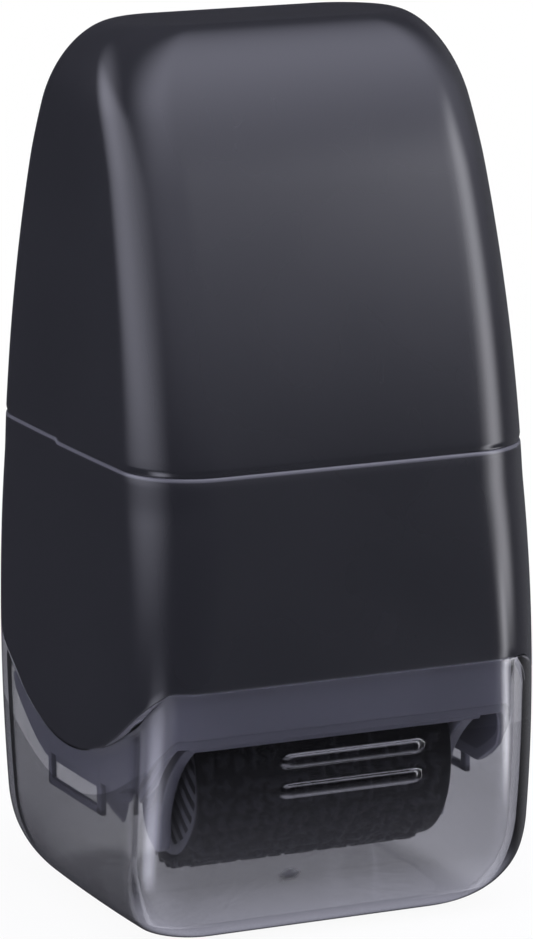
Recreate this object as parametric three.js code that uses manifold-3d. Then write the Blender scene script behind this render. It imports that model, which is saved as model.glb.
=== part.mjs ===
// Privacy roller stamp: a two-part black housing over a slide-in cartridge with a printing roller,
// closed at the foot by a see-through smoke cap. Millimetres, +Z up, standing on the cap.
// The origin is the middle of the cap's flat underside, +X runs along the roller's axle,
// and the front, with the grip ribs, faces -Y.
import * as THREE from 'three';
import { mergeVertices } from 'three/addons/utils/BufferGeometryUtils.js';
import Module from 'manifold-3d';

const wasm = await Module();
wasm.setup();

// Outer form: half widths along X and Y are flat arcs over the height, rounded in at head and foot
const bodyHeight = 80;
const widthForm = {
  half: 19.5, peakZ: 5, arc: 1157, headDrop: 4.3, headReach: 7.45, footDrop: 5.9, footReach: 8.7,
};
const depthForm = {
  half: 20.6, peakZ: 31, arc: 96.5, headDrop: 3.25, headReach: 13.75, footDrop: 4.75, footReach: 6,
};
const cornerFootZ = 5;
const cornerMiddleZ = 40;
const cornerHeadZ = 68;
const cornerFoot = 4;
const cornerMiddle = 6.65;
const cornerHead = 3.1;
const leastCorner = 0.6;
const sideCrown = 0.35;
const cornerLimitShare = 0.96;

// Parting lines
const partingGap = 0.3;
const seamBevel = 0.35;
const rimFrontZ = 24.4;
const rimTongueZ = 16.1;
const rimMiddleY = -0.9;
const rimSpread = 18.4;
const rimPowerShare = 2;
const neckDrop = 4.6;
const neckLowestZ = 13.6;

// Walls and fits
const housingWall = 1.5;
const lidStopGap = 0.8;
const capWall = 1.5;
const capFloor = 1.8;
const neckClearance = 0.3;
const neckWall = 1.2;
const fit = 0.3;
const overrun = 1;

// Cover and housing joint
const collarHeight = 3.4;
const collarWall = 1;
const collarRoot = 1.6;
const coverHead = 2;
const coverRibThickness = 1.2;
const coverRibX = 7.5;
const coverRibReach = 9;

// Printing roller
const rollerFrontGap = 3.455;
const rollerFootGap = 3.3;
const bandRadius = 9.2;
const bandThickness = 0.9;
const bandEndPlay = 0.55;
const coreWall = 1.2;
const coreWeb = 1.4;
const hubRadius = 3.1;
const endDiscThickness = 1.2;
const endDiscRecess = 0.5;
const endDiscRim = 0.9;
const slotPitch = 1.5;
const slotWidth = 0.75;
const slotTilt = THREE.MathUtils.degToRad(-31);
const axleRadius = 1.5;
const axleBevel = 0.3;

// Cartridge frame: the arms' reaches, rises and drops are taken from the printing roller's axis
const armThickness = 1.2;
const floorLap = 0.5;
const frameFloor = 1.2;
const skirtThickness = 1;
const skirtClearance = 0.9;
const skirtDepth = 2.1;
const armFrontReach = 3.8;
const armRearReach = 8;
const armFootDrop = 7.4;
const armHeelDrop = 4.7;
const armToeRadius = 2.2;
const flareLap = 0.4;
const flareBendReach = 5.5;
const flareBendRise = 1.6;
const flareFootDrop = 3.9;
const loopDrop = 3;
const loopBar = 0.7;
const loopThickBar = 1;
const loopHalf = 6.3;

// Bearings
const bushBarrel = 2.6;
const bushFlange = 3.6;
const bushFlangeThickness = 0.8;
const bushWallGap = 1.3;

// Inking roller, felt and lid
const inkRollerShift = 6.2;
const inkRadius = 6.8;
const foamThickness = 3;
const inkEndPlay = 0.95;
const inkCoreWall = 1.4;
const inkAxleRadius = 1.25;
const flangeRadius = 5.6;
const flangeThickness = 0.7;
const feltEndPlay = 1.45;
const feltDepth = 15;
const feltHeight = 3;
const feltRestShare = 0.92;
const lidThickness = 1.2;
const lidRimDepth = 1.6;
const lidRimWall = 1;
const plugInset = 6.34;
const plugRadius = 2;
const plugHeadRadius = 3;
const plugHeadHeight = 1;
const plugDepth = 1.2;

// Grip ribs on the cap
const ribLength = 13.2;
const ribHeight = 1.3;
const ribRise = 0.45;
const ribTopZ = 17.35;
const ribPitch = 2.75;

// Facets
const cornerSteps = 5;
const flankSteps = 10;
const faceSteps = 2;
const roundSteps = 40;
const smallSteps = 20;
const roundingSteps = 6;
const curveSteps = 5;

const black = { color: 0x26272b, roughness: 0.34, metalness: 0 };
const smoke = { color: 0x4a4b55, roughness: 0.16, metalness: 0, transparent: true, opacity: 0.45 };
const frameBlack = { color: 0x33343c, roughness: 0.4, metalness: 0 };
const rubber = { color: 0x1c1d21, roughness: 0.75, metalness: 0 };
const hubGrey = { color: 0x4c4e55, roughness: 0.5, metalness: 0 };
const steel = { color: 0xb9bcc0, roughness: 0.28, metalness: 1 };
const acetal = { color: 0xd8d6cf, roughness: 0.45, metalness: 0 };
const foamInk = { color: 0x15161c, roughness: 0.9, metalness: 0 };
const feltInk = { color: 0x1d1e26, roughness: 0.95, metalness: 0 };

const model = new THREE.Group();

function addPiece(name, geometry, finish) {
  geometry.computeVertexNormals();
  const piece = new THREE.Mesh(geometry, new THREE.MeshStandardMaterial(finish));
  piece.name = name;
  model.add(piece);
  return piece;
}

// Solids from closed meshes
function toSolid(geometry) {
  const bare = geometry.clone();
  bare.deleteAttribute('normal');
  bare.deleteAttribute('uv');
  const merged = mergeVertices(bare, leastCorner / 1e4);
  const vertProperties = new Float32Array(merged.attributes.position.array);
  const triVerts = new Uint32Array(merged.index.array);
  return new wasm.Manifold(new wasm.Mesh({ numProp: 3, vertProperties, triVerts }));
}

function toGeometry(solid) {
  const mesh = solid.getMesh();
  const geometry = new THREE.BufferGeometry();
  const places = new Float32Array(mesh.numVert * 3);
  for (let i = 0; i < mesh.numVert; i += 1) {
    places.set(mesh.vertProperties.subarray(i * mesh.numProp, i * mesh.numProp + 3), i * 3);
  }
  geometry.setAttribute('position', new THREE.BufferAttribute(places, 3));
  geometry.setIndex(new THREE.BufferAttribute(new Uint32Array(mesh.triVerts), 1));
  return geometry;
}

function block(minX, maxX, minY, maxY, minZ, maxZ) {
  const geometry = new THREE.BoxGeometry(maxX - minX, maxY - minY, maxZ - minZ);
  geometry.translate((minX + maxX) / 2, (minY + maxY) / 2, (minZ + maxZ) / 2);
  return toSolid(geometry);
}

// A turned solid about an axis along X through (y, z): profile pairs are [x, radius]
function turned(profile, y, z, steps = roundSteps) {
  const points = profile.map(([x, radius]) => new THREE.Vector2(radius, x));
  const geometry = new THREE.LatheGeometry(points, steps);
  geometry.rotateZ(-Math.PI / 2);
  geometry.translate(0, y, z);
  const solid = toSolid(geometry);
  return solid.volume() < 0 ? toSolid(flipped(geometry)) : solid;
}

function flipped(geometry) {
  const turnedOver = geometry.clone();
  const index = turnedOver.index.array;
  for (let i = 0; i < index.length; i += 3) {
    const kept = index[i + 1];
    index[i + 1] = index[i + 2];
    index[i + 2] = kept;
  }
  return turnedOver;
}

function rod(minX, maxX, radius, y, z, steps = roundSteps) {
  return turned([[minX, 0], [minX, radius], [maxX, radius], [maxX, 0]], y, z, steps);
}

function tube(minX, maxX, outer, inner, y, z, steps = roundSteps) {
  const profile = [[minX, inner], [minX, outer], [maxX, outer], [maxX, inner], [minX, inner]];
  return turned(profile, y, z, steps);
}

// A plate between two X planes from an outline drawn in Y and Z
function sidePlate(shape, minX, maxX) {
  const geometry = new THREE.ExtrudeGeometry(shape, {
    depth: maxX - minX, bevelEnabled: false, curveSegments: curveSteps,
  });
  geometry.rotateY(Math.PI / 2);
  geometry.rotateX(Math.PI / 2);
  geometry.translate(minX, 0, 0);
  return toSolid(geometry);
}

// The moulded outer form
function halfAt(form, z) {
  const intoHead = THREE.MathUtils.clamp((z - bodyHeight + form.headReach) / form.headReach, 0, 1);
  const intoFoot = THREE.MathUtils.clamp((form.footReach - z) / form.footReach, 0, 1);
  const bow = (z - form.peakZ) ** 2 / (2 * form.arc);
  const headLoss = form.headDrop * (1 - Math.sqrt(1 - intoHead ** 2));
  const footLoss = form.footDrop * (1 - Math.sqrt(1 - intoFoot ** 2));
  return form.half - bow - headLoss - footLoss;
}

// Places that follow from the form and from each other, from the cap's floor up to the seam
const neckInset = capWall + neckClearance;
const rollerZ = capFloor + rollerFootGap + bandRadius;
const rollerY = capWall + rollerFrontGap + bandRadius - halfAt(depthForm, rollerZ);
const bushSeat = fit + bushFlangeThickness;
const armOuterX = halfAt(widthForm, rimFrontZ) - neckInset - neckWall - bushWallGap - bushSeat;
const armInnerX = armOuterX - armThickness;
const bandLength = 2 * (armInnerX - bandEndPlay);
const inkLength = 2 * (armInnerX - inkEndPlay);
const inkRollerY = rollerY + inkRollerShift;
const inkReach = bandRadius + inkRadius + fit;
const inkRollerZ = rollerZ + Math.sqrt(inkReach ** 2 - inkRollerShift ** 2);
const neckFrontZ = rimFrontZ - neckDrop;
const frameFloorZ = neckFrontZ + floorLap;
const skirtBottomZ = frameFloorZ - skirtDepth;
const frameTopZ = inkRollerZ + inkRadius + feltHeight;
const lidUnderZ = frameTopZ + fit;
const collarRootZ = lidUnderZ + lidThickness + lidStopGap;
const seamZ = collarRootZ + collarRoot;
const plugX = armOuterX - plugInset;
const armFrontY = rollerY - armFrontReach;
const armRearY = rollerY + armRearReach;
const windowFrontY = rollerY - bandRadius - skirtClearance;
const windowRearY = rollerY + bandRadius + skirtClearance;

function cornerAt(z) {
  if (z < cornerMiddleZ) {
    return THREE.MathUtils.mapLinear(
      Math.max(z, cornerFootZ), cornerFootZ, cornerMiddleZ, cornerFoot, cornerMiddle,
    );
  }
  return THREE.MathUtils.mapLinear(
    Math.min(z, cornerHeadZ), cornerMiddleZ, cornerHeadZ, cornerMiddle, cornerHead,
  );
}

// Each point of a ring has a side of the middle and a direction out of its corner's centre
function ringStations() {
  const stations = [];
  for (let quarter = 0; quarter < 4; quarter += 1) {
    const middle = (quarter + 0.5) * Math.PI / 2;
    const side = [Math.sign(Math.cos(middle)), Math.sign(Math.sin(middle))];
    for (let i = 0; i <= cornerSteps; i += 1) {
      const angle = (quarter + i / cornerSteps) * Math.PI / 2;
      stations.push({ side, turn: [Math.cos(angle), Math.sin(angle)] });
    }
    const last = stations[stations.length - 1];
    const nextMiddle = middle + Math.PI / 2;
    const nextSide = [Math.sign(Math.cos(nextMiddle)), Math.sign(Math.sin(nextMiddle))];
    const steps = quarter % 2 ? flankSteps : faceSteps;
    for (let i = 1; i < steps; i += 1) {
      const share = i / steps;
      const between = side.map((value, axis) => value + (nextSide[axis] - value) * share);
      stations.push({ side: between, turn: last.turn });
    }
  }
  return stations;
}

const stations = ringStations();

function ringPoint(station, z, inset) {
  const halfX = halfAt(widthForm, z) - inset;
  const halfY = halfAt(depthForm, z) - inset;
  const most = Math.min(halfX, halfY) * cornerLimitShare;
  const corner = Math.min(Math.max(cornerAt(z) - inset, leastCorner), most);
  const x = station.side[0] * (halfX - corner) + corner * station.turn[0];
  const y = station.side[1] * (halfY - corner) + corner * station.turn[1];
  const crowned = x - Math.sign(x) * sideCrown * (y / halfY) ** 2 * (x / halfX) ** 2;
  return [crowned, y, z];
}

function ringAt(z, inset) {
  return stations.map((station) => ringPoint(station, z, inset));
}

// The housing's lower edge: level at front and back, dropping to a round tongue on each side
function rimZ(y) {
  const share = Math.min(Math.abs(y - rimMiddleY) / rimSpread, 1) ** rimPowerShare;
  return rimTongueZ + (rimFrontZ - rimTongueZ) * share;
}

function neckZ(y) {
  return Math.max(rimZ(y) - neckDrop, neckLowestZ);
}

// A ring whose height at each point follows an edge line on the outer skin, found by stepping to it
function ringAlong(edge, inset, shift = 0) {
  return stations.map((station) => {
    let z = rimFrontZ;
    for (let i = 0; i < curveSteps; i += 1) {
      z = edge(ringPoint(station, z, 0)[1]) + shift;
    }
    return ringPoint(station, z, inset);
  });
}

// A ring part of the way between an edge ring and a level, on the moulded form
function ringBetween(edgeRing, z, share, inset) {
  return stations.map((station, i) => (
    ringPoint(station, edgeRing[i][2] + (z - edgeRing[i][2]) * share, inset)
  ));
}

// A skin through rings: closed on itself, or ended by flat faces
function loft(rings, closed) {
  const count = stations.length;
  const places = rings.flat(2);
  const index = [];
  const rows = closed ? rings.length : rings.length - 1;
  for (let row = 0; row < rows; row += 1) {
    const next = (row + 1) % rings.length;
    for (let i = 0; i < count; i += 1) {
      const j = (i + 1) % count;
      const corners = [row * count + i, row * count + j, next * count + j, next * count + i];
      index.push(corners[0], corners[1], corners[2], corners[0], corners[2], corners[3]);
    }
  }
  if (!closed) {
    for (const [row, outward] of [[0, -1], [rings.length - 1, 1]]) {
      const centre = places.length / 3;
      places.push(0, 0, rings[row][0][2]);
      for (let i = 0; i < count; i += 1) {
        const pair = [row * count + i, row * count + (i + 1) % count];
        index.push(centre, pair[outward > 0 ? 0 : 1], pair[outward > 0 ? 1 : 0]);
      }
    }
  }
  const geometry = new THREE.BufferGeometry();
  geometry.setAttribute('position', new THREE.Float32BufferAttribute(places, 3));
  geometry.setIndex(index);
  return geometry;
}

// Levels that follow the rounding of the foot and of the head
const footLevels = [];
const headLevels = [];
for (let i = 0; i <= roundingSteps; i += 1) {
  const rise = 1 - Math.cos(i / roundingSteps * Math.PI / 2);
  footLevels.push(Math.max(widthForm.footReach, depthForm.footReach) * rise);
  headLevels.unshift(bodyHeight - Math.max(widthForm.headReach, depthForm.headReach) * rise);
}

function levelsBetween(low, high, count) {
  return Array.from({ length: count + 1 }, (_, i) => low + (high - low) * i / count);
}

// A solid plug of the moulded form between two levels
function formPlug(lowZ, highZ, inset, count = roundingSteps) {
  return toSolid(loft(levelsBetween(lowZ, highZ, count).map((z) => ringAt(z, inset)), false));
}

// Upper cover: a closed black hood with two stiffening ribs across its head
function makeCover() {
  const lowZ = seamZ + partingGap / 2;
  const shoulderZ = headLevels[0];
  const outer = [
    ringAt(lowZ, seamBevel),
    ...levelsBetween(lowZ + seamBevel, shoulderZ, curveSteps).map((z) => ringAt(z, 0)),
    ...headLevels.slice(1).map((z) => ringAt(z, 0)),
  ];
  const innerTopZ = bodyHeight - coverHead;
  const inner = [
    ...headLevels.slice(1, -1).filter((z) => z < innerTopZ).reverse(),
    ...levelsBetween(lowZ, shoulderZ, curveSteps).reverse(),
  ].map((z) => ringAt(z, housingWall));
  inner.unshift(ringAt(innerTopZ, housingWall + leastCorner));
  const shell = toSolid(loft([...inner, ...outer], false));
  const within = formPlug(innerTopZ - coverRibReach, innerTopZ + overrun / 2, housingWall / 2);
  let ribs = null;
  for (const side of [-1, 1]) {
    const middle = side * coverRibX;
    const rib = block(
      middle - coverRibThickness / 2, middle + coverRibThickness / 2,
      -depthForm.half, depthForm.half, innerTopZ - coverRibReach, innerTopZ + overrun / 2,
    ).intersect(within);
    ribs = ribs ? ribs.add(rib) : rib;
  }
  return shell.add(ribs);
}

// Lower body: the black band with a tongue on each side and the collar that the cover slips over
const collarOuter = housingWall + fit;
const collarInner = collarOuter + collarWall;

function makeLowerBody() {
  const topZ = seamZ - partingGap / 2;
  const outerEdge = ringAlong(rimZ, 0, partingGap / 2);
  const innerEdge = ringAlong(rimZ, housingWall, partingGap / 2);
  const shares = levelsBetween(0, 1, curveSteps);
  const shoulder = topZ - seamBevel;
  const rings = [
    ...shares.map((share) => ringBetween(outerEdge, shoulder, share, 0)),
    ringAt(topZ, seamBevel),
    ringAt(topZ, collarOuter),
    ringAt(topZ + collarHeight, collarOuter),
    ringAt(topZ + collarHeight, collarInner),
    ringAt(collarRootZ, collarInner),
    ringAt(collarRootZ, housingWall),
    ...shares.slice(1, -1).reverse().map((share) => (
      ringBetween(innerEdge, collarRootZ, share, housingWall)
    )),
    innerEdge,
  ];
  return toSolid(loft(rings, true));
}

// Cap: a see-through cup whose rim follows the housing's edge, with grip ribs front and back
function gripRib(z, front) {
  const shape = new THREE.Shape();
  const reach = ribLength / 2 - ribHeight / 2;
  shape.absarc(reach, z, ribHeight / 2, -Math.PI / 2, Math.PI / 2, false);
  shape.absarc(-reach, z, ribHeight / 2, Math.PI / 2, Math.PI * 3 / 2, false);
  const geometry = new THREE.ExtrudeGeometry(shape, {
    depth: depthForm.half, bevelEnabled: false, curveSegments: curveSteps,
  });
  geometry.rotateX(Math.PI / 2);
  if (!front) {
    geometry.rotateZ(Math.PI);
  }
  return toSolid(geometry);
}

function makeCap() {
  const topLevel = footLevels[roundingSteps];
  const outerEdge = ringAlong(rimZ, 0, -partingGap / 2);
  const innerEdge = ringAlong(rimZ, capWall, -partingGap / 2);
  const shares = levelsBetween(0, 1, curveSteps - 2);
  const rings = [
    ...shares.slice(0, -1).map((share) => ringBetween(innerEdge, topLevel, share, capWall)),
    ...footLevels.filter((z) => z > capFloor).reverse().map((z) => ringAt(z, capWall)),
    ringAt(capFloor, capWall + leastCorner),
  ].reverse();
  const outer = [
    ...footLevels.slice(0, -1).map((z) => ringAt(z, 0)),
    ...shares.map((share) => ringBetween(outerEdge, topLevel, 1 - share, 0)),
  ].reverse();
  const cup = toSolid(flipped(loft([...rings, ...outer], false)));
  const ribsLow = ribTopZ - ribPitch - ribHeight;
  const skin = formPlug(ribsLow, ribTopZ + ribHeight, -ribRise).subtract(
    formPlug(ribsLow - overrun, ribTopZ + ribHeight + overrun, capWall / 2),
  );
  let body = cup;
  for (const front of [true, false]) {
    for (const z of [ribTopZ, ribTopZ - ribPitch]) {
      body = body.add(gripRib(z, front).intersect(skin));
    }
  }
  return body;
}

// Cartridge frame: the neck that the cap grips, an open box above it, and two arms for the roller
function armShape() {
  const shape = new THREE.Shape();
  const topZ = frameFloorZ + frameFloor / 2;
  const flareTopZ = neckFrontZ - flareLap;
  const wallY = neckInset + neckWall / 2 - halfAt(depthForm, flareTopZ);
  const armFootZ = rollerZ - armFootDrop;
  const armHeelZ = rollerZ - armHeelDrop;
  shape.moveTo(wallY, topZ);
  shape.lineTo(wallY, flareTopZ);
  shape.quadraticCurveTo(
    rollerY - flareBendReach, rollerZ + flareBendRise, armFrontY, rollerZ - flareFootDrop,
  );
  shape.lineTo(armFrontY, armFootZ + armToeRadius);
  shape.quadraticCurveTo(armFrontY, armFootZ, armFrontY + armToeRadius, armFootZ);
  shape.lineTo(armRearY - armToeRadius, armHeelZ - (armHeelZ - armFootZ) / 4);
  shape.quadraticCurveTo(armRearY, armHeelZ, armRearY, armHeelZ + armToeRadius);
  shape.lineTo(armRearY, skirtBottomZ);
  shape.lineTo(windowRearY + skirtThickness, skirtBottomZ);
  shape.lineTo(windowRearY + skirtThickness, topZ);
  shape.closePath();
  return shape;
}

// The frame's walls are those of the neck, drawn in where the housing narrows above it
function frameRing(z, inset) {
  const widest = ringAt(Math.max(Math.min(z, rimFrontZ), neckLowestZ), inset);
  const own = ringAt(z, inset);
  return own.map((point, i) => [
    Math.sign(point[0]) * Math.min(Math.abs(point[0]), Math.abs(widest[i][0])),
    Math.sign(point[1]) * Math.min(Math.abs(point[1]), Math.abs(widest[i][1])),
    z,
  ]);
}

function frameShell(inset, lowEdge) {
  const low = ringAlong(lowEdge, inset);
  const shares = levelsBetween(0, 1, curveSteps - 2);
  return [
    ...shares.slice(0, -1).map((share) => ringBetween(low, rimFrontZ, share, inset)),
    ...levelsBetween(rimFrontZ, frameTopZ, curveSteps - 1).map((z) => frameRing(z, inset)),
  ];
}

function latchLoop(side) {
  const outerX = halfAt(widthForm, neckLowestZ) - neckInset;
  const topZ = neckLowestZ + neckWall;
  const place = (bar, low, high) => block(
    Math.min(side * (outerX - neckWall), side * outerX),
    Math.max(side * (outerX - neckWall), side * outerX), low, high, neckLowestZ - loopDrop, bar,
  );
  const rear = place(topZ, loopHalf - loopBar, loopHalf);
  const front = place(topZ, -loopHalf, loopThickBar - loopHalf);
  const foot = place(neckLowestZ - loopDrop + loopBar, -loopHalf, loopHalf);
  return rear.add(front).add(foot);
}

function bushHoles() {
  const reach = widthForm.half;
  const stamp = rod(-reach, reach, bushBarrel + fit, rollerY, rollerZ, smallSteps);
  const ink = rod(armInnerX - overrun, armOuterX + overrun,
    bushBarrel + fit, inkRollerY, inkRollerZ, smallSteps);
  const inkLeft = rod(-armOuterX - overrun, -armInnerX + overrun,
    bushBarrel + fit, inkRollerY, inkRollerZ, smallSteps);
  return stamp.add(ink).add(inkLeft);
}

function makeFrame() {
  const outer = frameShell(neckInset, neckZ);
  const inner = frameShell(neckInset + neckWall, neckZ).reverse();
  let frame = toSolid(loft([...outer, ...inner], true));
  const within = toSolid(loft(
    levelsBetween(frameFloorZ, frameTopZ, curveSteps)
      .map((z) => frameRing(z, neckInset + neckWall / 2)), false,
  ));
  const floorPlate = block(-widthForm.half, widthForm.half, -depthForm.half, depthForm.half,
    frameFloorZ, frameFloorZ + frameFloor).intersect(within);
  const inkSweep = rod(-armInnerX, armInnerX, inkRadius + skirtClearance, inkRollerY, inkRollerZ);
  const windowCut = block(-armInnerX, armInnerX, windowFrontY, windowRearY,
    frameFloorZ - overrun, frameFloorZ + frameFloor + overrun).add(inkSweep);
  frame = frame.add(floorPlate).subtract(windowCut);
  for (const y of [windowFrontY - skirtThickness, windowRearY]) {
    frame = frame.add(block(-armOuterX, armOuterX, y, y + skirtThickness,
      skirtBottomZ, frameFloorZ + frameFloor / 2));
  }
  for (const side of [-1, 1]) {
    const nearX = Math.min(side * armInnerX, side * armOuterX);
    const farX = Math.max(side * armInnerX, side * armOuterX);
    const bulkhead = block(nearX, farX, -depthForm.half, depthForm.half,
      frameFloorZ + frameFloor / 2, frameTopZ - lidRimDepth - fit).intersect(within);
    frame = frame.add(sidePlate(armShape(), nearX, farX)).add(bulkhead).add(latchLoop(side));
  }
  return frame.subtract(bushHoles());
}

// Closed bushes pressed into the arms and bulkheads from outside
function makeBush(side, y, z, boreRadius) {
  const seatX = armOuterX + fit;
  const outerX = armOuterX + bushSeat;
  const boreX = outerX - bushFlangeThickness / 2;
  const profile = [
    [armInnerX, boreRadius], [armInnerX, bushBarrel], [seatX, bushBarrel], [seatX, bushFlange],
    [outerX, bushFlange - axleBevel], [outerX, 0], [boreX, 0], [boreX, boreRadius],
    [armInnerX, boreRadius],
  ];
  return turned(profile.map(([x, radius]) => [x * side, radius]), y, z, smallSteps);
}

function makeAxle(radius, y, z) {
  const end = armOuterX + bushFlangeThickness / 2;
  const profile = [
    [-end, 0], [-end, radius - axleBevel], [-end + axleBevel, radius],
    [end - axleBevel, radius], [end, radius - axleBevel], [end, 0],
  ];
  return turned(profile, y, z, smallSteps);
}

// Printing roller: rubber band on a webbed core, closed by a slotted disc at each end
const coreRadius = bandRadius - bandThickness - fit;
const discOuterX = bandLength / 2 - endDiscRecess;
const discInnerX = discOuterX - endDiscThickness;
const coreEndX = discInnerX - fit;

function makeBand() {
  const end = bandLength / 2;
  const inner = bandRadius - bandThickness;
  const profile = [
    [-end, inner], [-end, bandRadius - axleBevel], [-end + axleBevel, bandRadius],
    [end - axleBevel, bandRadius], [end, bandRadius - axleBevel], [end, inner], [-end, inner],
  ];
  return turned(profile, rollerY, rollerZ);
}

function makeCore() {
  const drum = tube(-coreEndX, coreEndX, coreRadius, coreRadius - coreWall, rollerY, rollerZ);
  const boss = tube(-coreEndX, coreEndX, hubRadius, axleRadius + fit, rollerY, rollerZ, smallSteps);
  const web = tube(-coreWeb / 2, coreWeb / 2, coreRadius - coreWall / 2,
    (hubRadius + axleRadius) / 2, rollerY, rollerZ);
  return drum.add(boss).add(web);
}

function makeEndDisc(side) {
  const disc = side > 0
    ? tube(discInnerX, discOuterX, coreRadius, axleRadius + fit, rollerY, rollerZ)
    : tube(-discOuterX, -discInnerX, coreRadius, axleRadius + fit, rollerY, rollerZ);
  const ringX = [discInnerX - overrun, discOuterX + overrun]
    .map((x) => x * side).sort((a, b) => a - b);
  const grilleRing = tube(ringX[0], ringX[1], coreRadius - endDiscRim, hubRadius,
    rollerY, rollerZ, smallSteps);
  const reach = Math.floor((coreRadius - endDiscRim) / slotPitch);
  let slots = null;
  for (let i = -reach; i <= reach; i += 1) {
    const geometry = new THREE.BoxGeometry(
      endDiscThickness + overrun, 2 * coreRadius, slotWidth,
    );
    geometry.translate(0, 0, i * slotPitch);
    geometry.rotateX(-slotTilt);
    geometry.translate(side * (discInnerX + discOuterX) / 2, rollerY, rollerZ);
    const slot = toSolid(geometry);
    slots = slots ? slots.add(slot) : slot;
  }
  return disc.subtract(slots.intersect(grilleRing));
}

// Inking roller: foam sleeve on a plastic core with a flange at each end, and its felt above
const inkCoreRadius = inkRadius - foamThickness - fit;
const flangeX = inkLength / 2 - flangeThickness;

function makeFoam() {
  const end = flangeX - fit;
  return tube(-end, end, inkRadius, inkRadius - foamThickness, inkRollerY, inkRollerZ);
}

function makeInkCore() {
  const end = flangeX - fit;
  return tube(-end, end, inkCoreRadius, inkCoreRadius - inkCoreWall, inkRollerY, inkRollerZ);
}

function makeFlange(side) {
  const near = Math.min(side * flangeX, side * inkLength / 2);
  return tube(near, near + flangeThickness, flangeRadius, inkAxleRadius + fit,
    inkRollerY, inkRollerZ, smallSteps);
}

function makeFelt() {
  const end = armInnerX - feltEndPlay;
  const pad = block(-end, end, inkRollerY - feltDepth / 2, inkRollerY + feltDepth / 2,
    inkRollerZ + inkRadius * feltRestShare, frameTopZ);
  return pad.subtract(rod(-armInnerX, armInnerX, inkRadius + fit, inkRollerY, inkRollerZ));
}

// Lid over the cartridge with a locating rim, and two filler plugs in it
function makeLid() {
  const inset = neckInset;
  const plate = toSolid(loft(
    levelsBetween(lidUnderZ, lidUnderZ + lidThickness, 1).map((z) => frameRing(z, inset)), false,
  ));
  const rimInset = neckInset + neckWall + fit;
  const rim = toSolid(loft(
    levelsBetween(lidUnderZ - lidRimDepth, lidUnderZ + lidThickness / 2, 1)
      .map((z) => frameRing(z, rimInset)), false,
  ));
  const rimCore = toSolid(loft(
    levelsBetween(lidUnderZ - lidRimDepth - overrun, lidUnderZ, 1)
      .map((z) => frameRing(z, rimInset + lidRimWall)), false,
  ));
  let lid = plate.add(rim.subtract(rimCore));
  for (const side of [-1, 1]) {
    const hole = new THREE.CylinderGeometry(
      plugRadius + fit, plugRadius + fit, lidThickness + overrun, smallSteps,
    );
    hole.rotateX(Math.PI / 2);
    hole.translate(side * plugX, inkRollerY, lidUnderZ + lidThickness / 2);
    lid = lid.subtract(toSolid(hole));
  }
  return lid;
}

function makePlug(side) {
  const topZ = lidUnderZ + lidThickness;
  const headZ = topZ + fit;
  const points = [
    [0, topZ - plugDepth], [plugRadius - axleBevel, topZ - plugDepth],
    [plugRadius, topZ - plugDepth + axleBevel], [plugRadius, headZ], [plugHeadRadius, headZ],
    [plugHeadRadius, headZ + plugHeadHeight - axleBevel],
    [plugHeadRadius - axleBevel, headZ + plugHeadHeight], [0, headZ + plugHeadHeight],
  ].map(([radius, z]) => new THREE.Vector2(radius, z));
  const geometry = new THREE.LatheGeometry(points, smallSteps);
  geometry.rotateX(Math.PI / 2);
  geometry.translate(side * plugX, inkRollerY, 0);
  return toSolid(geometry);
}

const pieces = [
  ['cap', makeCap(), smoke],
  ['lower_body', makeLowerBody(), black],
  ['upper_cover', makeCover(), black],
  ['cartridge_frame', makeFrame(), frameBlack],
  ['cartridge_lid', makeLid(), frameBlack],
  ['filler_plug_left', makePlug(-1), rubber],
  ['filler_plug_right', makePlug(1), rubber],
  ['ink_felt', makeFelt(), feltInk],
  ['ink_foam_sleeve', makeFoam(), foamInk],
  ['ink_roller_core', makeInkCore(), acetal],
  ['ink_flange_left', makeFlange(-1), acetal],
  ['ink_flange_right', makeFlange(1), acetal],
  ['ink_axle', makeAxle(inkAxleRadius, inkRollerY, inkRollerZ), steel],
  ['ink_bush_left', makeBush(-1, inkRollerY, inkRollerZ, inkAxleRadius + fit), acetal],
  ['ink_bush_right', makeBush(1, inkRollerY, inkRollerZ, inkAxleRadius + fit), acetal],
  ['print_band', makeBand(), rubber],
  ['roller_core', makeCore(), hubGrey],
  ['roller_end_left', makeEndDisc(-1), hubGrey],
  ['roller_end_right', makeEndDisc(1), hubGrey],
  ['roller_axle', makeAxle(axleRadius, rollerY, rollerZ), steel],
  ['roller_bush_left', makeBush(-1, rollerY, rollerZ, axleRadius + fit), frameBlack],
  ['roller_bush_right', makeBush(1, rollerY, rollerZ, axleRadius + fit), frameBlack],
];

for (const [name, solid, finish] of pieces) {
  addPiece(name, toGeometry(solid), finish);
}

export default model;
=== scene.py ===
import math

import bmesh
import bpy
import numpy as np
from mathutils import Matrix, Vector


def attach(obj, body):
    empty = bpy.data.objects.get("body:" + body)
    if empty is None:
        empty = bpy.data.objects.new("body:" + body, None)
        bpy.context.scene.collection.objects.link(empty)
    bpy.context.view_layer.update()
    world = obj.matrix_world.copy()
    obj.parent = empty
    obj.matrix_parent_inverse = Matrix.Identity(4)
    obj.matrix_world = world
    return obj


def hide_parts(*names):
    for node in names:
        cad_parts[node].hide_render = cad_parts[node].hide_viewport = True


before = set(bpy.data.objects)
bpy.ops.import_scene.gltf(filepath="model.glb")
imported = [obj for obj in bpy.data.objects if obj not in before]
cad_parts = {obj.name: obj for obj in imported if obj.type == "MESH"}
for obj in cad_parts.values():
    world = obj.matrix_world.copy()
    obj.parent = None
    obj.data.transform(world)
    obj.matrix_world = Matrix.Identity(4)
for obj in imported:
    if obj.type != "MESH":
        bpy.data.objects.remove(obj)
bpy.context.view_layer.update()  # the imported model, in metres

# A hand roller stamp standing on its smoke cap. Shapes are worked out in millimetres, +Z up,
# the front towards -Y and the roller's axle along X, and are put into meshes in metres.
mm = 0.001
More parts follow.
